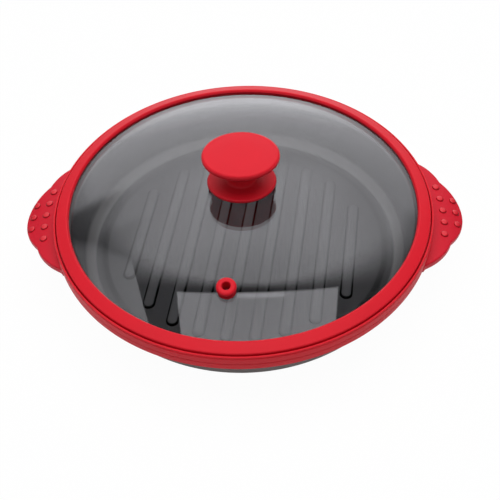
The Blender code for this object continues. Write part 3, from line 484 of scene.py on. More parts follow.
def applied(thing):
    """Turn an object and its modifiers into a plain mesh on the same object."""
    bpy.context.view_layer.update()
    graph = bpy.context.evaluated_depsgraph_get()
    mesh = bpy.data.meshes.new_from_object(thing.evaluated_get(graph))
    old = thing.data
    thing.modifiers.clear()
    thing.data = mesh
    bpy.data.meshes.remove(old)
    return thing


def smooth(thing):
    """Shade an object smooth, with creases where its faces turn sharply."""
    thing.data.shade_smooth()
    thing.data.set_sharp_from_angle(angle=CREASE_ANGLE)
    return thing


def turned(name, corners, steps, material, closed=True):
    """A turned piece from the corners of its section, which runs down its outer side."""
    points = rounded(corners, closed)
    mesh = bpy.data.meshes.new(name)
    edges = [(index, index + 1) for index in range(len(points) - 1)]
    if closed:
        edges.append((len(points) - 1, 0))
    mesh.from_pydata([(point.x, 0.0, point.y) for point in points], edges, [])
    thing = new_object(name, mesh, material)
    screw = thing.modifiers.new("Turn", "SCREW")
    screw.axis = "Z"
    screw.steps = steps
    screw.render_steps = steps
    screw.use_merge_vertices = True
    screw.merge_threshold = MERGE_DISTANCE
    return smooth(applied(thing))


def cut_out(thing, name, shape):
    """Cut a shape out of a piece."""
    cutter = shape_object(name, shape)
    cut = thing.modifiers.new(name, "BOOLEAN")
    cut.operation = "DIFFERENCE"
    cut.object = cutter
    cut.solver = "EXACT"
    applied(thing)
    bpy.data.objects.remove(cutter)
    return smooth(thing)


def finish_piece(thing, body, slot, *nodes):
    """Let a piece ride on a body and hide the nodes it stands for. The slot argument is not used."""
    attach(thing, body)
    if nodes:
        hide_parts(*nodes)
    return thing


def feed(tree, slot, given):
    """Link a socket to an input, or set the input's own value."""
    if isinstance(given, bpy.types.NodeSocket):
        tree.links.new(given, slot)
    else:
        slot.default_value = given


def feed_node(tree, node, *values, **named):
    """Feed a node's inputs in their order and by name, with underscores for spaces."""
    for slot, value in zip(node.inputs, values):
        feed(tree, slot, value)
    for label, value in named.items():
        feed(tree, node.inputs[label.replace("_", " ")], value)
    return node.outputs


def add_node(tree, kind, *values, **named):
    """A node fed like feed_node's. Keywords in small letters are the node's own settings."""
    node = tree.nodes.new(kind)
    for label in [label for label in named if label.islower()]:
        setattr(node, label, named.pop(label))
    return feed_node(tree, node, *values, **named)


def calc(tree, operation, *values):
    """The result of a math node."""
    return add_node(tree, "ShaderNodeMath", *values, operation=operation)[0]


def product(tree, *factors):
    """The product of two or more values."""
    result, *others = factors
    for factor in others:
        result = calc(tree, "MULTIPLY", result, factor)
    return result


def squared(tree, value):
    """A value times itself."""
    return product(tree, value, value)


def combined(tree, *parts):
    """A vector from three values."""
    return add_node(tree, "ShaderNodeCombineXYZ", *parts)[0]


def parts_of(tree, vector):
    """The three parts of a vector."""
    return add_node(tree, "ShaderNodeSeparateXYZ", vector)


def map_range(tree, *values, kind="LINEAR"):
    """A value carried from one range (low, high) to another."""
    return add_node(tree, "ShaderNodeMapRange", *values, interpolation_type=kind)[0]


def soft_step(tree, value, start, end, first=0.0, last=1.0):
    """A soft step from a first to a last value, where a value goes from start to end."""
    return map_range(tree, value, start, end, first, last, kind="SMOOTHSTEP")


def add_sockets(tree, way, sockets):
    """Give a tree its inputs or outputs, by label and value. Each value sets the socket's kind."""
    kinds = {int: "Int", float: "Float", bpy.types.Material: "Material", bpy.types.Object: "Object"}
    for label, value in sockets.items():
        kind = kinds.get(type(value)) or ("Vector" if len(value) == 3 else "Color")
        socket = tree.interface.new_socket(label, in_out=way, socket_type="NodeSocket" + kind)
        if kind in ("Float", "Vector", "Color"):
            socket.default_value = value


def new_geometry_tree(name, inputs):
    """A geometry node tree with its inputs and the outputs of its input node."""
    tree = bpy.data.node_groups.new(name, "GeometryNodeTree")
    tree.is_modifier = True
    tree.interface.new_socket("Geometry", in_out="OUTPUT", socket_type="NodeSocketGeometry")
    add_sockets(tree, "INPUT", inputs)
    return tree, add_node(tree, "NodeGroupInput")


def run_geometry_tree(name, maker, inputs):
    """Run a tree on an empty mesh with its inputs set, and keep the result as a plain mesh."""
    tree = maker(inputs)
    thing = new_object(name, bpy.data.meshes.new(name))
    modifier = thing.modifiers.new("Nodes", "NODES")
    modifier.node_group = tree
    for item in tree.interface.items_tree:
        if item.in_out == "INPUT":
            modifier[item.identifier] = inputs[item.name]
    applied(thing)
    thing.data.materials.clear()
    thing.data.materials.append(inputs["Material"])
    return smooth(thing)


def finish_tree(tree, geometry, material):
    """End a tree in Realize Instances and Set Material."""
    real = add_node(tree, "GeometryNodeRealizeInstances", Geometry=geometry)[0]
    painted = add_node(tree, "GeometryNodeSetMaterial", Geometry=real, Material=material)[0]
    add_node(tree, "NodeGroupOutput", painted)
    return tree


def joined(tree, *geometries):
    """Several geometries as one."""
    node = tree.nodes.new("GeometryNodeJoinGeometry")
    for geometry in geometries:
        tree.links.new(geometry, node.inputs[0])
    return node.outputs[0]


def spread(tree, points, piece, **named):
    """Copies of a piece on points."""
    return add_node(tree, "GeometryNodeInstanceOnPoints", Points=points, Instance=piece, **named)[0]


def pillow(tree, segments, rings, squareness):
    """A unit sphere pushed out towards a flat-topped button."""
    sphere = add_node(tree, "GeometryNodeMeshUVSphere", Segments=segments, Rings=rings, Radius=1.0)[0]
    x, y, z = parts_of(tree, add_node(tree, "GeometryNodeInputPosition")[0])
    flat = calc(tree, "SQRT", calc(tree, "ADD", squared(tree, x), squared(tree, y)))
    safe = calc(tree, "MAXIMUM", flat, 0.0001)
    power = calc(tree, "DIVIDE", 2.0, squareness)
    wide = calc(tree, "DIVIDE", calc(tree, "POWER", safe, power), safe)
    tall = product(tree, calc(tree, "SIGN", z), calc(tree, "POWER", calc(tree, "ABSOLUTE", z), power))
    place = combined(tree, product(tree, x, wide), product(tree, y, wide), tall)
    return add_node(tree, "GeometryNodeSetPosition", Geometry=sphere, Position=place)[0]


def index_line(tree, count, *place):
    """A row of points whose place is worked out from each point's own index."""
    line = add_node(tree, "GeometryNodeMeshLine", Count=count)[0]
    return add_node(tree, "GeometryNodeSetPosition", Geometry=line, Position=combined(tree, *place))[0]


def centred_index(tree, count):
    """Each point's index counted from the middle of its row."""
    index = add_node(tree, "GeometryNodeInputIndex")[0]
    return calc(tree, "SUBTRACT", index, calc(tree, "DIVIDE", calc(tree, "SUBTRACT", count, 1.0), 2.0))


def on_circle(tree, angle, radius):
    """The x and y of a place on a circle."""
    return [product(tree, calc(tree, kind, angle), radius) for kind in ("COSINE", "SINE")]


def rib_tree(inputs):
    """Parallel ribs with round ends that fill a circle."""
    tree, given = new_geometry_tree("rib_field", inputs)
    width = given["Width"]
    across = product(tree, centred_index(tree, given["Count"]), given["Pitch"])
    row = index_line(tree, given["Count"], across, 0.0, 0.0)
    inside = calc(tree, "SUBTRACT", squared(tree, given["Field radius"]), squared(tree, across))
    half_length = calc(tree, "SQRT", calc(tree, "MAXIMUM", inside, squared(tree, width)))
    kept = add_node(tree, "GeometryNodeStoreNamedAttribute", Geometry=row, Name="half_length",
                    Value=half_length, data_type="FLOAT")[0]

    half_width = calc(tree, "DIVIDE", width, 2.0)
    ribs = spread(tree, kept, pillow(tree, *RIB_FACES, given["Squareness"]),
                  Scale=combined(tree, half_width, half_width, given["Height"]))
    loose = add_node(tree, "GeometryNodeRealizeInstances", Geometry=ribs)[0]
    side = calc(tree, "SIGN", parts_of(tree, add_node(tree, "GeometryNodeInputPosition")[0])[1])
    fetched = add_node(tree, "GeometryNodeInputNamedAttribute", Name="half_length", data_type="FLOAT")[0]
    stretched = add_node(tree, "GeometryNodeSetPosition", Geometry=loose,
                         Offset=combined(tree, 0.0, product(tree, side, fetched), 0.0))[0]
    lifted = add_node(tree, "GeometryNodeTransform", Geometry=stretched,
                      Translation=combined(tree, 0.0, 0.0, given["Level"]),
                      Rotation=combined(tree, 0.0, 0.0, given["Turn"]))[0]
    return finish_tree(tree, lifted, given["Material"])


def stud_tree(inputs):
    """Two rows of studs on arcs, on the drooping top of each handle."""
    tree, given = new_geometry_tree("grip_studs", inputs)
    button = pillow(tree, *STUD_FACES, given["Squareness"])
    size = combined(tree, given["Stud radius"], given["Stud radius"], given["Stud height"])
    rows = []
    for label in ("Outer", "Inner"):
        count, row = given[label + " count"], given[label + " row"]
        angle = calc(tree, "DIVIDE", product(tree, centred_index(tree, count), given["Spacing"]), row)
        x, y = on_circle(tree, angle, row)
        past = calc(tree, "SUBTRACT", x, given["Droop start"])
        bend = product(tree, given["Top droop"], past)
        z = calc(tree, "SUBTRACT", given["Top level"], product(tree, bend, past))
        slope = calc(tree, "ARCTANGENT", product(tree, bend, 2.0))
        rows.append(spread(tree, index_line(tree, count, x, y, z), button, Scale=size,
                           Rotation=combined(tree, 0.0, slope, 0.0)))
    right = joined(tree, *rows)
    left = add_node(tree, "GeometryNodeTransform", Geometry=right, Rotation=(0.0, 0.0, LEFT_TURN))[0]
    return finish_tree(tree, joined(tree, right, left), given["Material"])


def feet_tree(inputs):
    """Copies of one foot, spread evenly on a circle."""
    tree, given = new_geometry_tree("feet", inputs)
    index = add_node(tree, "GeometryNodeInputIndex")[0]
    step = calc(tree, "DIVIDE", math.tau, given["Count"])
    angle = product(tree, calc(tree, "ADD", index, 0.5), step)
    points = index_line(tree, given["Count"], *on_circle(tree, angle, given["Circle"]), 0.0)
    foot = add_node(tree, "GeometryNodeObjectInfo", Object=given["Foot"])["Geometry"]
    return finish_tree(tree, spread(tree, points, foot), given["Material"])


def new_group(name, inputs, outputs):
    """A shader node group with inputs and outputs, each by label and value."""
    group = bpy.data.node_groups.new(name, "ShaderNodeTree")
    add_sockets(group, "INPUT", inputs)
    add_sockets(group, "OUTPUT", outputs)
    return group, add_node(group, "NodeGroupInput"), group.nodes.new("NodeGroupOutput")


def add_group(tree, name, *values, **named):
    """Place a node group, which is built once, and feed its inputs."""
    group = bpy.data.node_groups.get(name) or GROUP_MAKERS[name](name)
    return add_node(tree, "ShaderNodeGroup", *values, node_tree=group, **named)


def noise(tree, vector, scale, detail, roughness):
    """A noise texture's factor on a vector."""
    return add_node(tree, "ShaderNodeTexNoise", Vector=vector, Scale=scale, Detail=detail,
                    Roughness=roughness)["Fac"]


def mix_colour(tree, blend, factor, *colours):
    """A colour mix of two sockets or colours."""
    node = tree.nodes.new("ShaderNodeMix")
    node.data_type = "RGBA"
    node.blend_type = blend
    feed(tree, node.inputs[0], factor)
    for slot, colour in zip(node.inputs[6:8], colours):
        is_socket = isinstance(colour, bpy.types.NodeSocket)
        feed(tree, slot, colour if is_socket else (*colour, 1.0))
    return node.outputs[2]


def darkened(tree, colour, share):
    """A colour times a share."""
    return mix_colour(tree, "MULTIPLY", 1.0, colour, combined(tree, share, share, share))


def grain_group(name):
    """Fine grain: a colour with speckle, a roughness that varies, and a bumpy normal."""
    group, given, out = new_group(name, {
        "Vector": (0.0, 0.0, 0.0), "Colour": (0.5, 0.5, 0.5, 1.0), "Grain scale": 2000.0,
        "Speckle": 0.1, "Cloud": 0.05, "Roughness spread": 0.05, "Bump height": 0.00002, "Roughness": 0.5,
    }, {"Colour": (0.5, 0.5, 0.5, 1.0), "Roughness": 0.5, "Normal": (0.0, 0.0, 1.0)})
    fine = noise(group, given["Vector"], given["Grain scale"], 3.0, 0.6)
    wide = noise(group, given["Vector"], CLOUD_SCALE, 2.0, 0.5)
    speckle, cloud = [
        map_range(group, pattern, *NOISE_SPAN, calc(group, "SUBTRACT", 1.0, given[label]),
                  calc(group, "ADD", 1.0, given[label]))
        for pattern, label in ((fine, "Speckle"), (wide, "Cloud"))
    ]
    sway = product(group, calc(group, "SUBTRACT", wide, 0.5), given["Roughness spread"])
    bump = add_node(group, "ShaderNodeBump", Strength=1.0, Distance=given["Bump height"], Height=fine)[0]
    feed_node(group, out, Colour=darkened(group, given["Colour"], product(group, speckle, cloud)),
              Roughness=calc(group, "ADD", given["Roughness"], sway), Normal=bump)
    return group


def slope_group(name):
    """Painted shade: a share that falls from 1 on level faces to a floor value on steep ones."""
    inputs = {"Normal": (0.0, 0.0, 1.0), "Level": 0.997, "Steep": 0.93, "Darkest": 0.03}
    group, given, out = new_group(name, inputs, {"Share": 1.0})
    upward = calc(group, "ABSOLUTE", parts_of(group, given["Normal"])[2])
    feed_node(group, out, soft_step(group, upward, given["Steep"], given["Level"], given["Darkest"]))
    return group


def tilt_group(name):
    """How far a turned face leans out from the axis: below 0 where it faces inward."""
    inputs = {"Vector": (0.0, 0.0, 0.0), "Normal": (0.0, 0.0, 1.0)}
    group, given, out = new_group(name, inputs, {"Tilt": 0.0})
    kind = "ShaderNodeVectorMath"
    flat = add_node(group, kind, given["Vector"], (1.0, 1.0, 0.0), operation="MULTIPLY")[0]
    away = add_node(group, kind, flat, operation="NORMALIZE")[0]
    lean = add_node(group, kind, away, given["Normal"], operation="DOT_PRODUCT")["Value"]
    feed_node(group, out, lean)
    return group


def panel_group(name):
    """A soft-edged rectangle in the sky, in slopes across and along from straight up."""
    group, given, out = new_group(name, {
        "Across": 0.0, "Along": 0.0, "Across low": 0.0, "Across high": 1.0, "Along low": 0.0,
        "Along high": 1.0, "Softness": 0.02, "Strength": 1.0,
    }, {"Mask": 0.0})
    mask = given["Strength"]
    for label in ("Across", "Along"):
        after_low = calc(group, "SUBTRACT", given[label], given[label + " low"])
        before_high = calc(group, "SUBTRACT", given[label + " high"], given[label])
        for margin in (after_low, before_high):
            mask = product(group, mask, soft_step(group, margin, 0.0, given["Softness"]))
    feed_node(group, out, mask)
    return group


GROUP_MAKERS = {
    "Moulded grain": grain_group,
    "Slope shade": slope_group,
    "Ring tilt": tilt_group,
    "Studio panel": panel_group,
}


def new_material(name, preview):
    """An empty material with a Principled shader. Returns it, its tree and its shader."""
    material = bpy.data.materials.new(name)
    material.use_nodes = True
    material.diffuse_color = (*preview, 1.0)
    tree = material.node_tree
    return material, tree, tree.nodes["Principled BSDF"]


def place_of(tree, label):
    """Object coordinates or the normal, for patterns that stay on the piece."""
    return add_node(tree, "ShaderNodeTexCoord")[label]


def base_colour(shader):
    """The socket that feeds a shader's colour."""
    return shader.inputs["Base Color"].links[0].from_socket


def grained_material(name, colour, roughness, grain, metallic=0.0, specular=0.5, change=None):
    """A material with moulded grain on a plain colour, built once, with a change made to it."""
    if name in bpy.data.materials:
        return bpy.data.materials[name]
    material, tree, shader = new_material(name, colour)
    grain = add_group(tree, "Moulded grain", place_of(tree, "Object"), (*colour, 1.0), *grain, roughness)
    feed_node(tree, shader, Base_Color=grain["Colour"], Roughness=grain["Roughness"],
              Normal=grain["Normal"], Metallic=metallic, Specular_IOR_Level=specular)
    if change:
        change(tree, shader)
    return material


def hidden_material(name):
    """The material of a piece inside the knob or under the pan."""
    return grained_material(name, *HIDDEN_FINISHES[name])


def silicone_material(made):
    """Satin red silicone."""
    return grained_material("red_silicone", made.finish.silicone, made.finish.silicone_roughness,
                            SILICONE_GRAIN, specular=0.22)


def handle_material(made):
    """A darker, bluer copy of the red silicone for the handle plates: painted shade."""
    colour = [part * share for part, share in zip(made.finish.silicone, HANDLE_SHADE)]
    return grained_material("shaded_handle_silicone", colour, made.finish.silicone_roughness, SILICONE_GRAIN,
                            specular=0.22)


def stud_material(made):
    """Glossier red silicone of the studs, with painted shade down their sides."""
    return grained_material("stud_silicone", made.finish.silicone, 0.8 * made.finish.silicone_roughness,
                            SILICONE_GRAIN, specular=0.5,
                            change=lambda *parts: shade_by_slope(*parts, **STUD_SHADE_SLOPES))


def shell_material(made):
    """The coating on the shell, with a painted highlight in the fillet and the flare and painted shade on the
    channel's slope.
    """
    return grained_material("shell_coating", made.finish.coating, 0.38, COATING_GRAIN, specular=0.22,
                            change=paint_light_by_tilt)


def rib_material(made):
    """The pan's coating on the ribs, with painted shade on their steep sides."""
    return grained_material("rib_coating", made.finish.coating, 0.30, COATING_GRAIN, specular=0.32,
                            change=shade_by_slope)


def outer_wall_material(made):
    """Grey sprayed enamel of the pan's outside."""
    return grained_material("outer_enamel", made.finish.outer_wall, 0.34, ENAMEL_GRAIN, metallic=0.55)


def shade_by_slope(tree, shader, **slopes):
    """Paint shade on steep faces: darken a grained material, and its gloss, there."""
    share = add_group(tree, "Slope shade", place_of(tree, "Normal"), **slopes)["Share"]
    gloss = product(tree, share, shader.inputs["Specular IOR Level"].default_value)
    feed_node(tree, shader, Base_Color=darkened(tree, base_colour(shader), share),
              Specular_IOR_Level=gloss)


def paint_light_by_tilt(tree, shader):
    """Paint light into a grained material's colour by how far each face leans: a highlight where it leans in,
    shade where it leans out.
    """
    tilt = add_group(tree, "Ring tilt", place_of(tree, "Object"), place_of(tree, "Normal"))["Tilt"]
    # Painted highlight where a face leans inward but is not upright
    highlight_share = product(tree, soft_step(tree, tilt, *INWARD_TILT), soft_step(tree, tilt, *UPRIGHT_TILT, 1.0, 0.0))
    colour = mix_colour(tree, "MIX", highlight_share, base_colour(shader), FILLET_HIGHLIGHT)
    # Painted shade where a face leans outward, on the channel's slope
    dark = soft_step(tree, tilt, *OUTWARD_TILT, 1.0, SLOPE_SHADE)
    feed_node(tree, shader, Base_Color=darkened(tree, colour, dark))


def glass_material(made):
    """Clear tempered glass that lets plain light through to what it covers."""
    clear_colour = (*made.finish.glass_tint, 1.0)
    material, tree, shader = new_material("tempered_glass", made.finish.glass_tint)
    feed_node(tree, shader, Base_Color=clear_colour, Roughness=0.0, IOR=made.finish.glass_ior,
              Transmission_Weight=1.0)
    clear = add_node(tree, "ShaderNodeBsdfTransparent", clear_colour)[0]
    path = add_node(tree, "ShaderNodeLightPath")
    soft = calc(tree, "MAXIMUM", path["Is Shadow Ray"], path["Is Diffuse Ray"])
    show(tree, add_node(tree, "ShaderNodeMixShader", soft, shader.outputs[0], clear)[0])
    return material


def show(tree, surface):
    """Make a shader the surface of its material."""
    feed_node(tree, tree.nodes["Material Output"], Surface=surface)


def plate_shape(outline, thickness, edge, edge_segments):
    """A flat plate about z = 0 from its outline, with rounded upper and lower edges."""
    shape = bmesh.new()
    face = shape.faces.new([shape.verts.new((point.x, point.y, -thickness / 2)) for point in outline])
    raised = bmesh.ops.extrude_face_region(shape, geom=[face])
    upper = [item for item in raised["geom"] if isinstance(item, bmesh.types.BMVert)]
    bmesh.ops.translate(shape, verts=upper, vec=(0, 0, thickness))
    bmesh.ops.recalc_face_normals(shape, faces=shape.faces)
    rims = [item for item in shape.edges if abs(item.verts[0].co.z - item.verts[1].co.z) < edge / 2]
    bmesh.ops.bevel(shape, geom=rims, offset=edge, segments=edge_segments, profile=0.5,
                    affect="EDGES", clamp_overlap=True)
    return shape


def ordered_mesh(name, shape):
    """The mesh of an edited shape, which is used up, in an order set by its corners' places."""
    places = sorted(tuple(vertex.co) for vertex in shape.verts)
    order = {place: index for index, place in enumerate(places)}
    faces = []
    for face in shape.faces:
        corners = [order[tuple(vertex.co)] for vertex in face.verts]
        first = corners.index(min(corners))
        faces.append(corners[first:] + corners[:first])
    shape.free()
    mesh = bpy.data.meshes.new(name)
    mesh.from_pydata(places, [], sorted(faces))
    return mesh


def handle_plate(made, name, turn, thinning, *plate):
    """A plate, bent down and thinned past the droop's start, and turned to its side of the pan."""
    shape = plate_shape(*plate)
    start, end = made.droop_start, made.handle_reach
    for index in range(1, HANDLE_STRIPS):
        cut = start + (end - start) * index / HANDLE_STRIPS
        everything = shape.verts[:] + shape.edges[:] + shape.faces[:]
        bmesh.ops.bisect_plane(shape, geom=everything, dist=MERGE_DISTANCE, plane_co=(cut, 0, 0),
                               plane_no=(1, 0, 0))
    for vertex in shape.verts:
        past = max(vertex.co.x - start, 0.0)
        thinner = 2 * thinning * past ** 2 / made.collar.handle_thickness
        vertex.co.z = made.handle_middle + vertex.co.z * (1 - thinner) - made.collar.droop * past ** 2
    bmesh.ops.rotate(shape, verts=shape.verts, cent=(0, 0, 0), matrix=Matrix.Rotation(turn, 3, "Z"))
    return ordered_mesh(name, shape)


def pan_inner_path(made):
    """The pan's inner face from the axis to the lip's edge, before its fillets."""
    return [
        Vector((0.0, made.floor_top)),
        Vector((made.floor_radius, made.floor_top)),
        Vector((made.wall_radius, made.lip_top - made.pan.flare_height)),
        Vector((made.flare_radius, made.lip_top)),
        Vector((made.lip_radius, made.lip_top)),
    ]


def pan_outer_path(made, extra):
    """The pan's outer face, from the axis to the lip's edge, moved out by an extra gap."""
    wall = made.pan.wall + extra
    return offset_path(pan_inner_path(made), [made.pan.floor + extra, wall, wall, wall])


class BuildPan(bpy.types.Operator):
    """Make the pan with its channel, flare and lip, and the ribs on its floor"""

    bl_idname = "grill_pan.build_pan"
    bl_label = "Pan and ribs"

    def execute(self, context):
        made = Finished(context)
        finish_piece(self.make_shell(made), "pan", "nonstick_aluminium", "pan_body")
        finish_piece(self.make_ribs(made), "pan", "nonstick_aluminium")
        finish_piece(self.make_lugs(made), "pan", "nonstick_aluminium")
        return {"FINISHED"}

    def make_shell(self, made):
        """The turned shell, coated inside and enamelled outside."""
        sizes = made.pan
        inner = pan_inner_path(made)
        outer = pan_outer_path(made, 0)
        foot = Vector((made.channel_foot, made.floor_top - sizes.channel_depth))
        wall_foot = line_meet(foot, Vector((1.0, 0.0)), inner[1], inner[2] - inner[1])
        corners = [
            (*inner[0], 0),
            (made.channel_radius, made.floor_top, sizes.channel_slope * 2),
            (*foot, sizes.channel_slope * 2),
            (*wall_foot, sizes.fillet),
            (*inner[2], sizes.wall * 2),
            (*inner[3], sizes.wall / 2),
            (*inner[4], sizes.wall / 5),
            (*outer[4], sizes.wall / 5),
            (*outer[3], 0),
            (*outer[2], sizes.wall),
            (*outer[1], sizes.fillet + sizes.wall),
            (*outer[0], 0),
        ]
        shell = turned("pan_shell", corners, RING_STEPS, shell_material(made), closed=False)
        shell.data.materials.append(outer_wall_material(made))
        for face in shell.data.polygons:
            face.material_index = 1 if self.is_outside(face, made) else 0
        return shell

    def is_outside(self, face, made):
        """Whether a face of the shell is on its outside, below the lip."""
        spot = face.center
        radius = math.hypot(spot.x, spot.y)
        outward = (face.normal.x * spot.x + face.normal.y * spot.y) / max(radius, MERGE_DISTANCE)
        below_floor = spot.z < made.floor_top - made.pan.floor / 2 - made.pan.channel_depth
        return below_floor and face.normal.z < 0 or outward > 0.1 and face.normal.z < 0.1

    def make_ribs(self, made):
        """The ribs, which stand on the floor inside the channel."""
        sizes = made.pan
        return run_geometry_tree("pan_ribs", rib_tree, {
            "Count": sizes.rib_count,
            "Pitch": sizes.rib_pitch,
            "Width": sizes.rib_width,
            "Height": sizes.rib_height,
            "Field radius": made.rib_field_radius,
            "Level": made.floor_top,
            "Turn": sizes.rib_turn,
            "Squareness": RIB_SQUARENESS,
            "Material": rib_material(made),
        })

    def make_lugs(self, made):
        """The flat lugs of the pan inside the handles."""
        wall = made.pan.wall
        radius = made.collar.tip_lobe - made.collar.handle_edge * 4
        centre = Vector((made.handle_reach - made.collar.tip_lobe, 0.0))
        axis = Vector((0.0, 0.0))
        corner = circle_meet(axis, made.wall_radius + wall / 2, centre, radius)
        tip = centre + Vector((radius, 0.0))
        outline = arc_points(centre, mirrored(corner), tip, OUTLINE_STEP)
        outline += arc_points(centre, tip, corner, OUTLINE_STEP)[1:]
        outline += arc_points(axis, corner, mirrored(corner), OUTLINE_STEP)[1:-1]
        both = bmesh.new()
        for turn in (0.0, LEFT_TURN):
            lug = handle_plate(made, "lug", turn, 0.0, outline, wall / 2, wall / 8, 1)
            both.from_mesh(lug)
            bpy.data.meshes.remove(lug)
        return smooth(shape_object("handle_lugs", both, outer_wall_material(made)))


class BuildBase(bpy.types.Operator):
    """Make the heating layer under the pan and the feet that plug into it"""

    bl_idname = "grill_pan.build_base"
    bl_label = "Heating layer and feet"

    def execute(self, context):
        finish_piece(self.make_layer(), "pan", "heating_compound", "heating_layer")
        finish_piece(self.make_feet(), "pan", "foot_silicone", "foot_1", "foot_2", "foot_3", "foot_4")
        return {"FINISHED"}

    def make_layer(self):
        """The filled silicone disc, with a shallow ring moulded in its underside."""
        radius, top, bottom = LAYER_HIGH.y, LAYER_HIGH.z, LAYER_LOW.z
        edge, soft, sharp = 0.0008, 0.0002, 0.0001
        groove = radius - 0.0050
        groove_top = bottom + 0.0004
        corners = [
            (0.0, top, 0),
            (radius, top, edge),
            (radius, bottom, edge),
            (groove, bottom, soft),
            (groove - 0.0003, groove_top, sharp),
            (groove - 0.0012, groove_top, sharp),
            (groove - 0.0015, bottom, soft),
            (0.0, bottom, 0),
        ]
        compound = hidden_material("heating_compound")
        return turned("heating_disc", corners, RING_STEPS, compound, closed=False)

    def make_feet(self):
        """Four feet, copies of one turned foot with a shallow cup in its sole."""
        reach = (FOOT_HIGH.x - FOOT_LOW.x) / 2
        top = LAYER_LOW.z - CLEARANCE
        edge, soft, cup = 0.0008, 0.0002, 0.0005
        corners = [
            (0.0, top, 0),
            (reach, top, edge),
            (reach - 0.0007, 0.0, edge),
            (reach - 0.0030, 0.0, soft),
            (reach - 0.0035, cup, soft),
            (0.0, cup, 0),
        ]
        rubber = hidden_material("foot_rubber")
        foot = turned("foot_pattern", corners, SMALL_STEPS, rubber, closed=False)
        circle = math.hypot(FOOT_LOW.x + reach, FOOT_LOW.y + reach)
        feet = run_geometry_tree("feet", feet_tree, {
            "Count": 4, "Circle": circle, "Foot": foot, "Material": rubber,
        })
        bpy.data.objects.remove(foot)
        return feet


class BuildCollar(bpy.types.Operator):
    """Make the silicone collar, its two handles and their grip studs"""

    bl_idname = "grill_pan.build_collar"
    bl_label = "Collar and handles"

    def execute(self, context):
        made = Finished(context)
        finish_piece(self.make_ring(made), "pan", "collar_silicone", "silicone_collar")
        for name, turn in (("handle_right", 0.0), ("handle_left", LEFT_TURN)):
            finish_piece(self.make_handle(made, name, turn), "pan", "collar_silicone")
        finish_piece(self.make_studs(made), "pan", "collar_silicone")
        return {"FINISHED"}

    def make_ring(self, made):
        """The turned ring that grips the pan's lip and stands up round the lid."""
        sizes = made.collar
        step, lip = sizes.band_step, sizes.lip_thickness
        pan_side = pan_outer_path(made, CLEARANCE)
        lip_gap = made.lip_radius + CLEARANCE
        bottom = made.lip_top - sizes.skirt
        face_bottom = made.seat - sizes.face_height
        band_radius = made.collar_radius - step
        groove = 0.00035
        groove_top = made.seat - 0.0009
        groove_edge = made.lip_outer + sizes.belly * 0.3
        ledge = made.lip_radius - sizes.ledge_width
        corners = [
            (made.lip_inner, made.seat, lip * 0.3),
            (made.lip_outer, made.seat, lip * 0.4),
            (groove_edge, groove_top, 0),
            (groove_edge - groove, groove_top - groove, groove * 0.3),
            (made.lip_outer + sizes.belly * 0.5, groove_top - 2 * groove, groove),
            (made.collar_radius, face_bottom + step * 2, step),
            (band_radius - groove, face_bottom, groove),
            (band_radius, face_bottom - step * 2, step),
            (band_radius, bottom, lip),
            *[(point.x, point.y, 0) for point in path_above(pan_side[:-1], bottom)],
            (lip_gap, pan_side[-1].y, 0),
            (lip_gap, made.lip_top + CLEARANCE, 0),
            (ledge, made.lip_top + CLEARANCE, 0),
            (ledge, made.ledge_top, 0.0003),
            (made.lip_inner, made.ledge_top, 0.0004),
        ]
        return turned("collar_ring", corners, RING_STEPS, silicone_material(made))

    def handle_outline(self, made):
        """The three-lobed outline of the right-hand handle, closed inside the collar."""
        sizes = made.collar
        tip = Vector((made.handle_reach - sizes.tip_lobe, 0.0))
        side = Vector((made.collar_radius - sizes.side_lobe_inset, sizes.side_lobe_spread))
        axis = Vector((0.0, 0.0))
        notch = circle_meet(tip, sizes.tip_lobe, side, sizes.side_lobe)
        fillet = circle_meet(axis, made.collar_radius + sizes.root_fillet, side,
                             sizes.side_lobe + sizes.root_fillet)
        lobe_end = side + (fillet - side).normalized() * sizes.side_lobe
        collar_end = fillet.normalized() * made.collar_radius
        inside = fillet.normalized() * (made.lip_radius - sizes.lip_thickness)
        half = arc_points(tip, Vector((made.handle_reach, 0.0)), notch, OUTLINE_STEP)
        half += arc_points(side, notch, lobe_end, OUTLINE_STEP)[1:]
        half += arc_points(fillet, lobe_end, collar_end, ARC_STEP)[1:]
        inner_arc = arc_points(axis, inside, mirrored(inside), OUTLINE_STEP)
        return half + inner_arc + [mirrored(point) for point in reversed(half[1:])]

    def make_handle(self, made, name, turn):
        """One handle, a drooping plate with round edges."""
        sizes = made.collar
        mesh = handle_plate(made, name, turn, sizes.thinning, self.handle_outline(made),
                            sizes.handle_thickness, sizes.handle_edge, HANDLE_EDGE_STEPS)
        return smooth(new_object(name, mesh, handle_material(made)))

    def make_studs(self, made):
        """The grip studs of both handles."""
        sizes = made.collar
        return run_geometry_tree("grip_studs", stud_tree, {
            "Inner count": sizes.inner_studs,
            "Outer count": sizes.outer_studs,
            "Inner row": made.collar_radius + sizes.inner_stud_offset,
            "Outer row": made.collar_radius + sizes.outer_stud_offset,
            "Spacing": sizes.stud_spacing,
            "Top level": made.handle_middle + sizes.handle_thickness / 2,
            "Droop start": made.droop_start,
            "Top droop": sizes.droop + sizes.thinning,
            "Stud radius": sizes.stud_radius,
            "Stud height": sizes.stud_height,
            "Squareness": STUD_SQUARENESS,
            "Material": stud_material(made),
        })


def vent_place(made):
    """The vent's place on the glass: Z along the glass's normal, from its upper face."""
    lean = math.asin(made.vent_circle / made.lid.dome_radius)
    spot = Vector((made.vent_circle, 0.0, made.glass_top(made.vent_circle)))
    turn = Matrix.Rotation(made.lid.vent_turn, 4, "Z")
    return turn @ Matrix.Translation(spot) @ Matrix.Rotation(lean, 4, "Y")


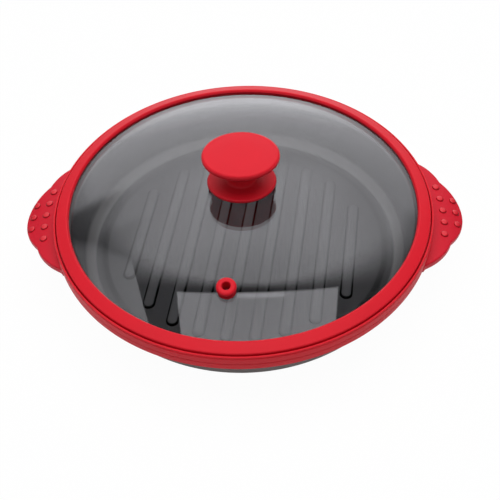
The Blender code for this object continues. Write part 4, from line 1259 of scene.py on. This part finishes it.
class BuildGlass(bpy.types.Operator):
    """Make the domed glass with its two holes"""

    bl_idname = "grill_pan.build_glass"
    bl_label = "Lid glass"

    def execute(self, context):
        made = Finished(context)
        finish_piece(self.make_dome(made), "lid", "tempered_glass", "lid_glass")
        return {"FINISHED"}

    def make_dome(self, made):
        """The dome with a ground edge, cut for the vent."""
        ground = 0.0006
        edge = made.glass_radius
        inner, outer = made.lid.knob_hole, edge - ground
        radii = [inner + (outer - inner) * step / DOME_RINGS for step in range(DOME_RINGS + 1)]
        corners = [(radius, made.glass_top(radius), 0) for radius in radii]
        corners += [(edge, made.glass_top(edge) - ground, 0), (edge, made.glass_bottom(edge) + ground, 0)]
        corners += [(radius, made.glass_bottom(radius), 0) for radius in reversed(radii)]
        dome = turned("glass_dome", corners, RING_STEPS, glass_material(made))
        drill = bmesh.new()
        bmesh.ops.create_cone(drill, cap_ends=True, segments=SMALL_STEPS, radius1=made.lid.vent_hole,
                              radius2=made.lid.vent_hole, depth=made.lid.glass_thickness * 6)
        bmesh.ops.transform(drill, verts=drill.verts, matrix=vent_place(made))
        return cut_out(dome, "vent_drill", drill)


class BuildRim(bpy.types.Operator):
    """Make the silicone rim of the lid and the grommet in the steam vent"""

    bl_idname = "grill_pan.build_rim"
    bl_label = "Lid rim and vent"

    def execute(self, context):
        made = Finished(context)
        finish_piece(self.make_rim(made), "lid", "rim_silicone", "lid_rim")
        finish_piece(self.make_vent(made), "lid", "vent_silicone", "vent_grommet")
        return {"FINISHED"}

    def make_rim(self, made):
        """The rim, which grips the glass's edge and thins out over it."""
        sizes = made.lid
        base = RIM_LOW.z + sizes.shoulder_drop
        groove_radius = made.glass_radius + CLEARANCE
        under_radius = made.glass_radius - sizes.grip_depth
        ridge = made.rim_radius - sizes.ridge_inset - 0.0003
        shoulder_top, shoulder_foot = made.lip_radius - 0.0016, made.lip_radius - 0.0021
        inner_top = made.glass_top(made.rim_inner)
        thin_edge, glass_gap, soft = 0.0004, 0.00005, 0.0003
        corners = [
            (made.rim_inner, inner_top + thin_edge, 0.0001),
            (ridge, RIM_HIGH.z, 0.0010),
            (made.rim_radius, base + sizes.rim_edge_height, 0.0009),
            (made.rim_radius, base, 0.0004),
            (shoulder_top, base, 0),
            (shoulder_foot, RIM_LOW.z, soft),
            (under_radius, RIM_LOW.z, soft),
            (under_radius, made.glass_bottom(under_radius) - CLEARANCE, 0),
            (groove_radius, made.glass_bottom(groove_radius) - CLEARANCE, 0),
            (groove_radius, made.glass_top(groove_radius) + CLEARANCE, 0),
            (made.rim_inner, inner_top + glass_gap, 0),
        ]
        return turned("rim_ring", corners, RING_STEPS, silicone_material(made))

    def make_vent(self, made):
        """The grommet, a round collar with a straight bore."""
        sizes = made.lid
        waist = sizes.vent_hole - CLEARANCE
        under = -sizes.glass_thickness - CLEARANCE
        foot = under - sizes.vent_foot_height
        corners = [
            (sizes.vent_bore, sizes.vent_head_height, 0.0007),
            (sizes.vent_head, sizes.vent_head_height, 0.0018),
            (sizes.vent_head, CLEARANCE / 3, 0.0009),
            (waist, CLEARANCE / 3, 0),
            (waist, under, 0),
            (sizes.vent_foot, under, 0.0003),
            (sizes.vent_foot, foot, 0.0008),
            (sizes.vent_bore, foot, 0.0004),
        ]
        grommet = turned("vent_collar", corners, SMALL_STEPS, silicone_material(made))
        grommet.data.transform(vent_place(made))
        grommet.data.update()
        return grommet


class BuildKnob(bpy.types.Operator):
    """Make the knob's cap and skirt, and dress the core and the insert inside it"""

    bl_idname = "grill_pan.build_knob"
    bl_label = "Knob"

    def execute(self, context):
        made = Finished(context)
        finish_piece(self.make_cap(made), "lid", "knob_silicone", "knob_cap")
        finish_piece(self.make_skirt(made), "lid", "skirt_silicone", "knob_skirt")
        self.dress_inner_parts()
        return {"FINISHED"}

    def draw_in(self, thing, made):
        """Make a turned piece oval: narrower along Y outside the knob's round middle."""
        wide, deep, start = CAP_HIGH.x, CAP_HIGH.y, made.knob.oval_start
        for vertex in thing.data.vertices:
            outside = max(math.hypot(vertex.co.x, vertex.co.y) - start, 0.0)
            vertex.co.y *= 1 - (1 - deep / wide) * outside / (wide - start)
        return smooth(thing)

    def make_cap(self, made):
        """The cap: a shallow disc that draws in to the waist, hollow for the core."""
        sizes = made.knob
        radius = CAP_HIGH.x
        half_edge = sizes.cap_edge / 2
        middle = made.crown + sizes.cap_middle
        top, bottom = middle + half_edge, middle - half_edge
        waist_bottom = made.crown + sizes.seam_height + CLEARANCE
        hollow_start, hollow_drop, hollow_fillet = 0.0147, 0.0012, 0.0044
        disc, disc_top = CORE_HIGH.x + CLEARANCE, CORE_HIGH.z + CLEARANCE
        core_half = 0.0022
        disc_bottom = middle - core_half - CLEARANCE
        corners = [
            (0.0, top + sizes.cap_crown, 0),
            (radius * 0.5, top + sizes.cap_crown * 0.75, radius * 2),
            (radius, top, half_edge),
            (radius, bottom, half_edge * 0.95),
            (hollow_start, bottom - hollow_drop, hollow_fillet),
            (sizes.waist_radius, bottom - sizes.cap_undercut, sizes.cap_undercut),
            (sizes.waist_radius, waist_bottom, 0.0002),
            (sizes.stem_bore, waist_bottom, 0),
            (sizes.stem_bore, disc_bottom, 0),
            (disc, disc_bottom, 0),
            (disc, disc_top, 0),
            (0.0, disc_top, 0),
        ]
        cap = turned("cap_disc", corners, KNOB_STEPS, silicone_material(made), closed=False)
        return self.draw_in(cap, made)

    def make_skirt(self, made):
        """The skirt: a dished flange under the waist."""
        sizes = made.knob
        radius = SKIRT_HIGH.x
        half_edge = sizes.skirt_edge / 2
        top = made.crown + sizes.skirt_middle + half_edge
        bottom = top - sizes.skirt_edge
        seam = made.crown + sizes.seam_height
        pocket, ceiling = GASKET_HIGH.x + CLEARANCE, GASKET_HIGH.z + CLEARANCE
        foot_rise, dish_start, dish_fillet = 0.0016, 0.0145, 0.0037
        corners = [
            (sizes.stem_bore, seam, 0),
            (sizes.waist_radius, seam, 0.0002),
            (sizes.waist_radius, top + foot_rise, foot_rise),
            (dish_start, top, dish_fillet),
            (radius, top, half_edge),
            (radius, bottom, half_edge * 0.95),
            (pocket, bottom, 0.0003),
            (pocket, ceiling, 0),
            (sizes.stem_bore, ceiling, 0),
        ]
        return self.draw_in(turned("skirt_flange", corners, KNOB_STEPS, silicone_material(made)), made)

    def dress_inner_parts(self):
        """Better materials for the core and the insert, whose solids stay."""
        for node, finish in (("knob_core", "core_plastic"), ("thread_insert", "turned_brass")):
            mesh = frame["nodes"][node].data
            mesh.materials.clear()
            mesh.materials.append(hidden_material(finish))


class BuildFasteners(bpy.types.Operator):
    """Make the gaskets, the washer and the slotted screw under the glass"""

    bl_idname = "grill_pan.build_fasteners"
    bl_label = "Screw and gaskets"

    def execute(self, context):
        made = Finished(context)
        soft, steel = hidden_material("gasket_silicone"), hidden_material("bright_steel")
        finish_piece(self.make_gasket(made, soft), "lid", "gasket_silicone", "knob_gasket")
        lower = self.make_washer(made, "lower_seal", LOWER_GASKET_LOW, LOWER_GASKET_HIGH, soft)
        finish_piece(lower, "lid", "gasket_silicone", "lower_gasket")
        washer = self.make_washer(made, "steel_washer", WASHER_LOW, WASHER_HIGH, steel)
        finish_piece(washer, "lid", "stainless_steel", "screw_washer")
        finish_piece(self.make_screw(made, steel), "lid", "stainless_steel", "knob_screw")
        return {"FINISHED"}

    def make_gasket(self, made, material):
        """The gasket over the glass, with its sleeve in the hole."""
        bore = made.knob.screw_radius + CLEARANCE
        sleeve = made.lid.knob_hole - CLEARANCE
        over_glass = made.crown + CLEARANCE
        edge, soft = 0.0003, 0.0002
        corners = [
            (bore, GASKET_HIGH.z, soft),
            (GASKET_HIGH.x, GASKET_HIGH.z, edge),
            (GASKET_HIGH.x, over_glass, edge),
            (sleeve, over_glass, 0),
            (sleeve, GASKET_LOW.z, soft),
            (bore, GASKET_LOW.z, soft),
        ]
        return turned("gasket_ring", corners, SMALL_STEPS, material)

    def make_washer(self, made, name, low, high, material):
        """A flat washer with eased edges, in a node's place."""
        bore = made.knob.screw_radius + CLEARANCE
        soft, edge = 0.00015, 0.00025
        corners = [
            (bore, high.z, soft), (high.x, high.z, edge), (high.x, low.z, edge), (bore, low.z, soft),
        ]
        return turned(name, corners, SMALL_STEPS, material)

    def make_screw(self, made, material):
        """The screw: a ridged shank and a slotted pan head that hangs below."""
        radius, pitch = made.knob.screw_radius, made.knob.screw_pitch
        head_top = SCREW_LOW.z + 0.0024
        thread_start, thread_depth, crest_edge = 0.0006, 0.00035, 0.00004
        corners = [(0.0, SCREW_HIGH.z, 0), (radius - 0.0006, SCREW_HIGH.z, 0.0001)]
        for index in range(int((SCREW_HIGH.z - 0.0008 - head_top) / pitch)):
            crest = SCREW_HIGH.z - thread_start - index * pitch
            corners.append((radius, crest, crest_edge))
            corners.append((radius - thread_depth, crest - pitch / 2, crest_edge))
        corners += [
            (radius, head_top + pitch / 2, 0),
            (radius, head_top, 0),
            (SCREW_HIGH.x, head_top, 0.0003),
            (SCREW_HIGH.x, SCREW_LOW.z, 0.0014),
            (0.0, SCREW_LOW.z, 0),
        ]
        screw = turned("slotted_screw", corners, SMALL_STEPS, material, closed=False)
        slot_width, slot_height = 0.0009, 0.0022
        size = Matrix.Diagonal((SCREW_HIGH.x * 2.4, slot_width, slot_height, 1.0))
        saw = bmesh.new()
        bmesh.ops.create_cube(saw, size=1.0, matrix=Matrix.Translation((0, 0, SCREW_LOW.z)) @ size)
        return cut_out(screw, "slot_saw", saw)


class BuildStudio(bpy.types.Operator):
    """Make the pale floor, the lamp, the surroundings and the camera"""

    bl_idname = "grill_pan.build_studio"
    bl_label = "Studio"

    def execute(self, context):
        look = Finished(context).studio
        self.make_floor()
        self.make_lamp(look)
        self.make_surroundings(context.scene, look)
        self.make_camera(context.scene, look)
        context.scene.view_settings.view_transform = "Standard"
        return {"FINISHED"}

    def make_floor(self):
        """A wide white floor that keeps a faint shadow and is clear from below."""
        shape = bmesh.new()
        bmesh.ops.create_grid(shape, x_segments=1, y_segments=1, size=FLOOR_SIZE)
        material, tree, shader = new_material("studio_white", FLOOR_COLOUR)
        feed_node(tree, shader, Base_Color=(*FLOOR_COLOUR, 1.0), Roughness=0.9, Specular_IOR_Level=0.0)
        glow = add_node(tree, "ShaderNodeEmission", Color=(*WHITE, 1.0), Strength=1.0)[0]
        seen = product(tree, add_node(tree, "ShaderNodeLightPath")["Is Camera Ray"], FLOOR_GLOW)
        lit = add_node(tree, "ShaderNodeMixShader", seen, shader.outputs[0], glow)[0]
        behind = add_node(tree, "ShaderNodeNewGeometry")["Backfacing"]
        clear = add_node(tree, "ShaderNodeBsdfTransparent")[0]
        show(tree, add_node(tree, "ShaderNodeMixShader", behind, lit, clear)[0])
        floor = shape_object("studio_floor", shape, material)
        floor.location.z = CAD_BOX[0].z - FLOOR_GAP

    def make_lamp(self, look):
        """A wide soft lamp overhead, which reflections don't show."""
        light = bpy.data.lights.new("softbox", "AREA")
        light.shape = "RECTANGLE"
        light.size, light.size_y = LAMP_SIZE
        light.energy = look.top_light
        lamp = bpy.data.objects.new("softbox", light)
        lamp.location = LAMP_PLACE
        lamp.visible_glossy = False
        lamp.visible_transmission = False
        bpy.context.scene.collection.objects.link(lamp)

    def make_surroundings(self, scene, look):
        """A bright studio with dark gaps between its light panels, and white for the camera."""
        world = bpy.data.worlds.new("studio")
        scene.world = world
        world.use_nodes = True
        tree = world.node_tree
        x, y, z = parts_of(tree, place_of(tree, "Generated"))
        safe = calc(tree, "MAXIMUM", z, LOWEST_SKY)
        level = studio_level(tree, look, calc(tree, "DIVIDE", x, safe), calc(tree, "DIVIDE", y, safe))
        path = add_node(tree, "ShaderNodeLightPath")
        is_camera = path["Is Camera Ray"]
        soft = map_range(tree, path["Is Diffuse Ray"], 0.0, 1.0, level, look.fill_light)
        feed_node(tree, tree.nodes["Background"],
                  Strength=map_range(tree, is_camera, 0.0, 1.0, soft, 1.0),
                  Color=mix_colour(tree, "MIX", is_camera, STUDIO_TINT, WHITE))

    def make_camera(self, scene, look):
        """The camera, at the photograph's viewing angle."""
        data = bpy.data.cameras.new("camera")
        data.lens = look.camera_lens
        data.sensor_width = SENSOR_WIDTH
        data.clip_start = CLIP_START
        camera = bpy.data.objects.new("camera", data)
        turn = Matrix.Rotation(look.camera_heading, 4, "Z")
        tilt = Matrix.Rotation(look.camera_pitch, 4, "X")
        roll = Matrix.Rotation(look.camera_roll, 4, "Z")
        camera.matrix_world = Matrix.Translation(look.camera_place) @ turn @ tilt @ roll
        scene.collection.objects.link(camera)
        scene.camera = camera


def studio_level(tree, look, across, along):
    """The strength of the surroundings by the slopes across and along from straight up."""
    bow = squared(tree, across)
    ends = [calc(tree, "MULTIPLY_ADD", bow, bend, start) for start, bend in (BACKDROP_DARK, BACKDROP_BRIGHT)]
    rise = map_range(tree, along, *HORIZON_RISE, look.backdrop_level, look.horizon_level)
    level = product(tree, soft_step(tree, along, *ends), rise)
    for gap in BACKDROP_GAPS:
        mask = add_group(tree, "Studio panel", across, along, *gap)["Mask"]
        level = product(tree, level, calc(tree, "SUBTRACT", 1.0, mask))
    glow = add_group(tree, "Studio panel", across, along, *BACKDROP_GLOW)["Mask"]
    level = calc(tree, "ADD", level, glow)

    start, bend, shift = SOFTBOX_EDGE
    moved = calc(tree, "ADD", across, shift)
    edge = calc(tree, "MULTIPLY_ADD", squared(tree, moved), bend, start)
    softbox = soft_step(tree, calc(tree, "SUBTRACT", edge, along), 0.0, PANEL_SOFTNESS)
    for border in SOFTBOX_BORDERS:
        softbox = product(tree, softbox, line_side(tree, across, along, *border))
    level = calc(tree, "MAXIMUM", level, product(tree, softbox, look.softbox_level))
    streak = add_group(tree, "Studio panel", across, along, *STREAK_ACROSS,
                       calc(tree, "SUBTRACT", edge, STREAK_WIDTH), edge, PANEL_SOFTNESS)["Mask"]
    level = calc(tree, "MULTIPLY_ADD", streak, STREAK_LEVEL, level)
    side = product(tree, line_side(tree, across, along, *SIDE_PANEL_INNER),
                   line_side(tree, across, along, *SIDE_PANEL_UPPER),
                   map_range(tree, across, *SIDE_FADE), look.side_level)
    level = calc(tree, "MAXIMUM", level, side)
    return calc(tree, "MAXIMUM", level, map_range(tree, along, *FRONT_RISE, 0.0, look.front_level))


def line_side(tree, across, along, across_share, along_share, limit, softness=PANEL_SOFTNESS):
    """A soft mask where across and along, each times its share, add up to less than a limit."""
    total = calc(tree, "MULTIPLY_ADD", across, across_share, product(tree, along, along_share))
    return soft_step(tree, total, limit, limit - softness)


class GrillPanPanel(bpy.types.Panel):
    """Buttons and sizes of the grill pan"""

    bl_idname = "VIEW3D_PT_grill_pan"
    bl_label = "Grill pan"
    bl_space_type = "VIEW_3D"
    bl_region_type = "UI"
    bl_category = "Grill pan"

    def draw(self, context):
        for operator in BUILD_STEPS:
            self.layout.operator(operator.bl_idname)
        for name, group in PROPERTY_GROUPS.items():
            box = self.layout.box()
            box.label(text=group.__doc__)
            for key in group.__annotations__:
                box.prop(getattr(context.scene, name), key)


PROPERTY_GROUPS = {
    "grill_pan_sizes": GrillPanSizes,
    "grill_pan_collar": CollarSizes,
    "grill_pan_lid": LidSizes,
    "grill_pan_knob": KnobSizes,
    "grill_pan_finishes": PanFinishes,
    "grill_pan_studio": StudioLook,
}
BUILD_STEPS = (
    BuildPan, BuildBase, BuildCollar, BuildGlass, BuildRim, BuildKnob, BuildFasteners, BuildStudio,
)
CLASSES = (*PROPERTY_GROUPS.values(), *BUILD_STEPS, GrillPanPanel)


def register():
    """Register the add-on's classes and its settings."""
    for item in CLASSES:
        bpy.utils.register_class(item)
    for name, group in PROPERTY_GROUPS.items():
        setattr(bpy.types.Scene, name, PointerProperty(type=group))


def unregister():
    """Take the add-on's classes and settings away again."""
    for name in PROPERTY_GROUPS:
        delattr(bpy.types.Scene, name)
    for item in reversed(CLASSES):
        bpy.utils.unregister_class(item)


def main():
    """Take away old cameras and lamps, then build every piece."""
    for thing in list(bpy.data.objects):
        if thing.type in {"CAMERA", "LIGHT"}:
            bpy.data.objects.remove(thing)
    register()
    bpy.ops.grill_pan.build_pan()
    bpy.ops.grill_pan.build_base()
    bpy.ops.grill_pan.build_collar()
    bpy.ops.grill_pan.build_glass()
    bpy.ops.grill_pan.build_rim()
    bpy.ops.grill_pan.build_knob()
    bpy.ops.grill_pan.build_fasteners()
    bpy.ops.grill_pan.build_studio()


if __name__ == "__main__":
    main()
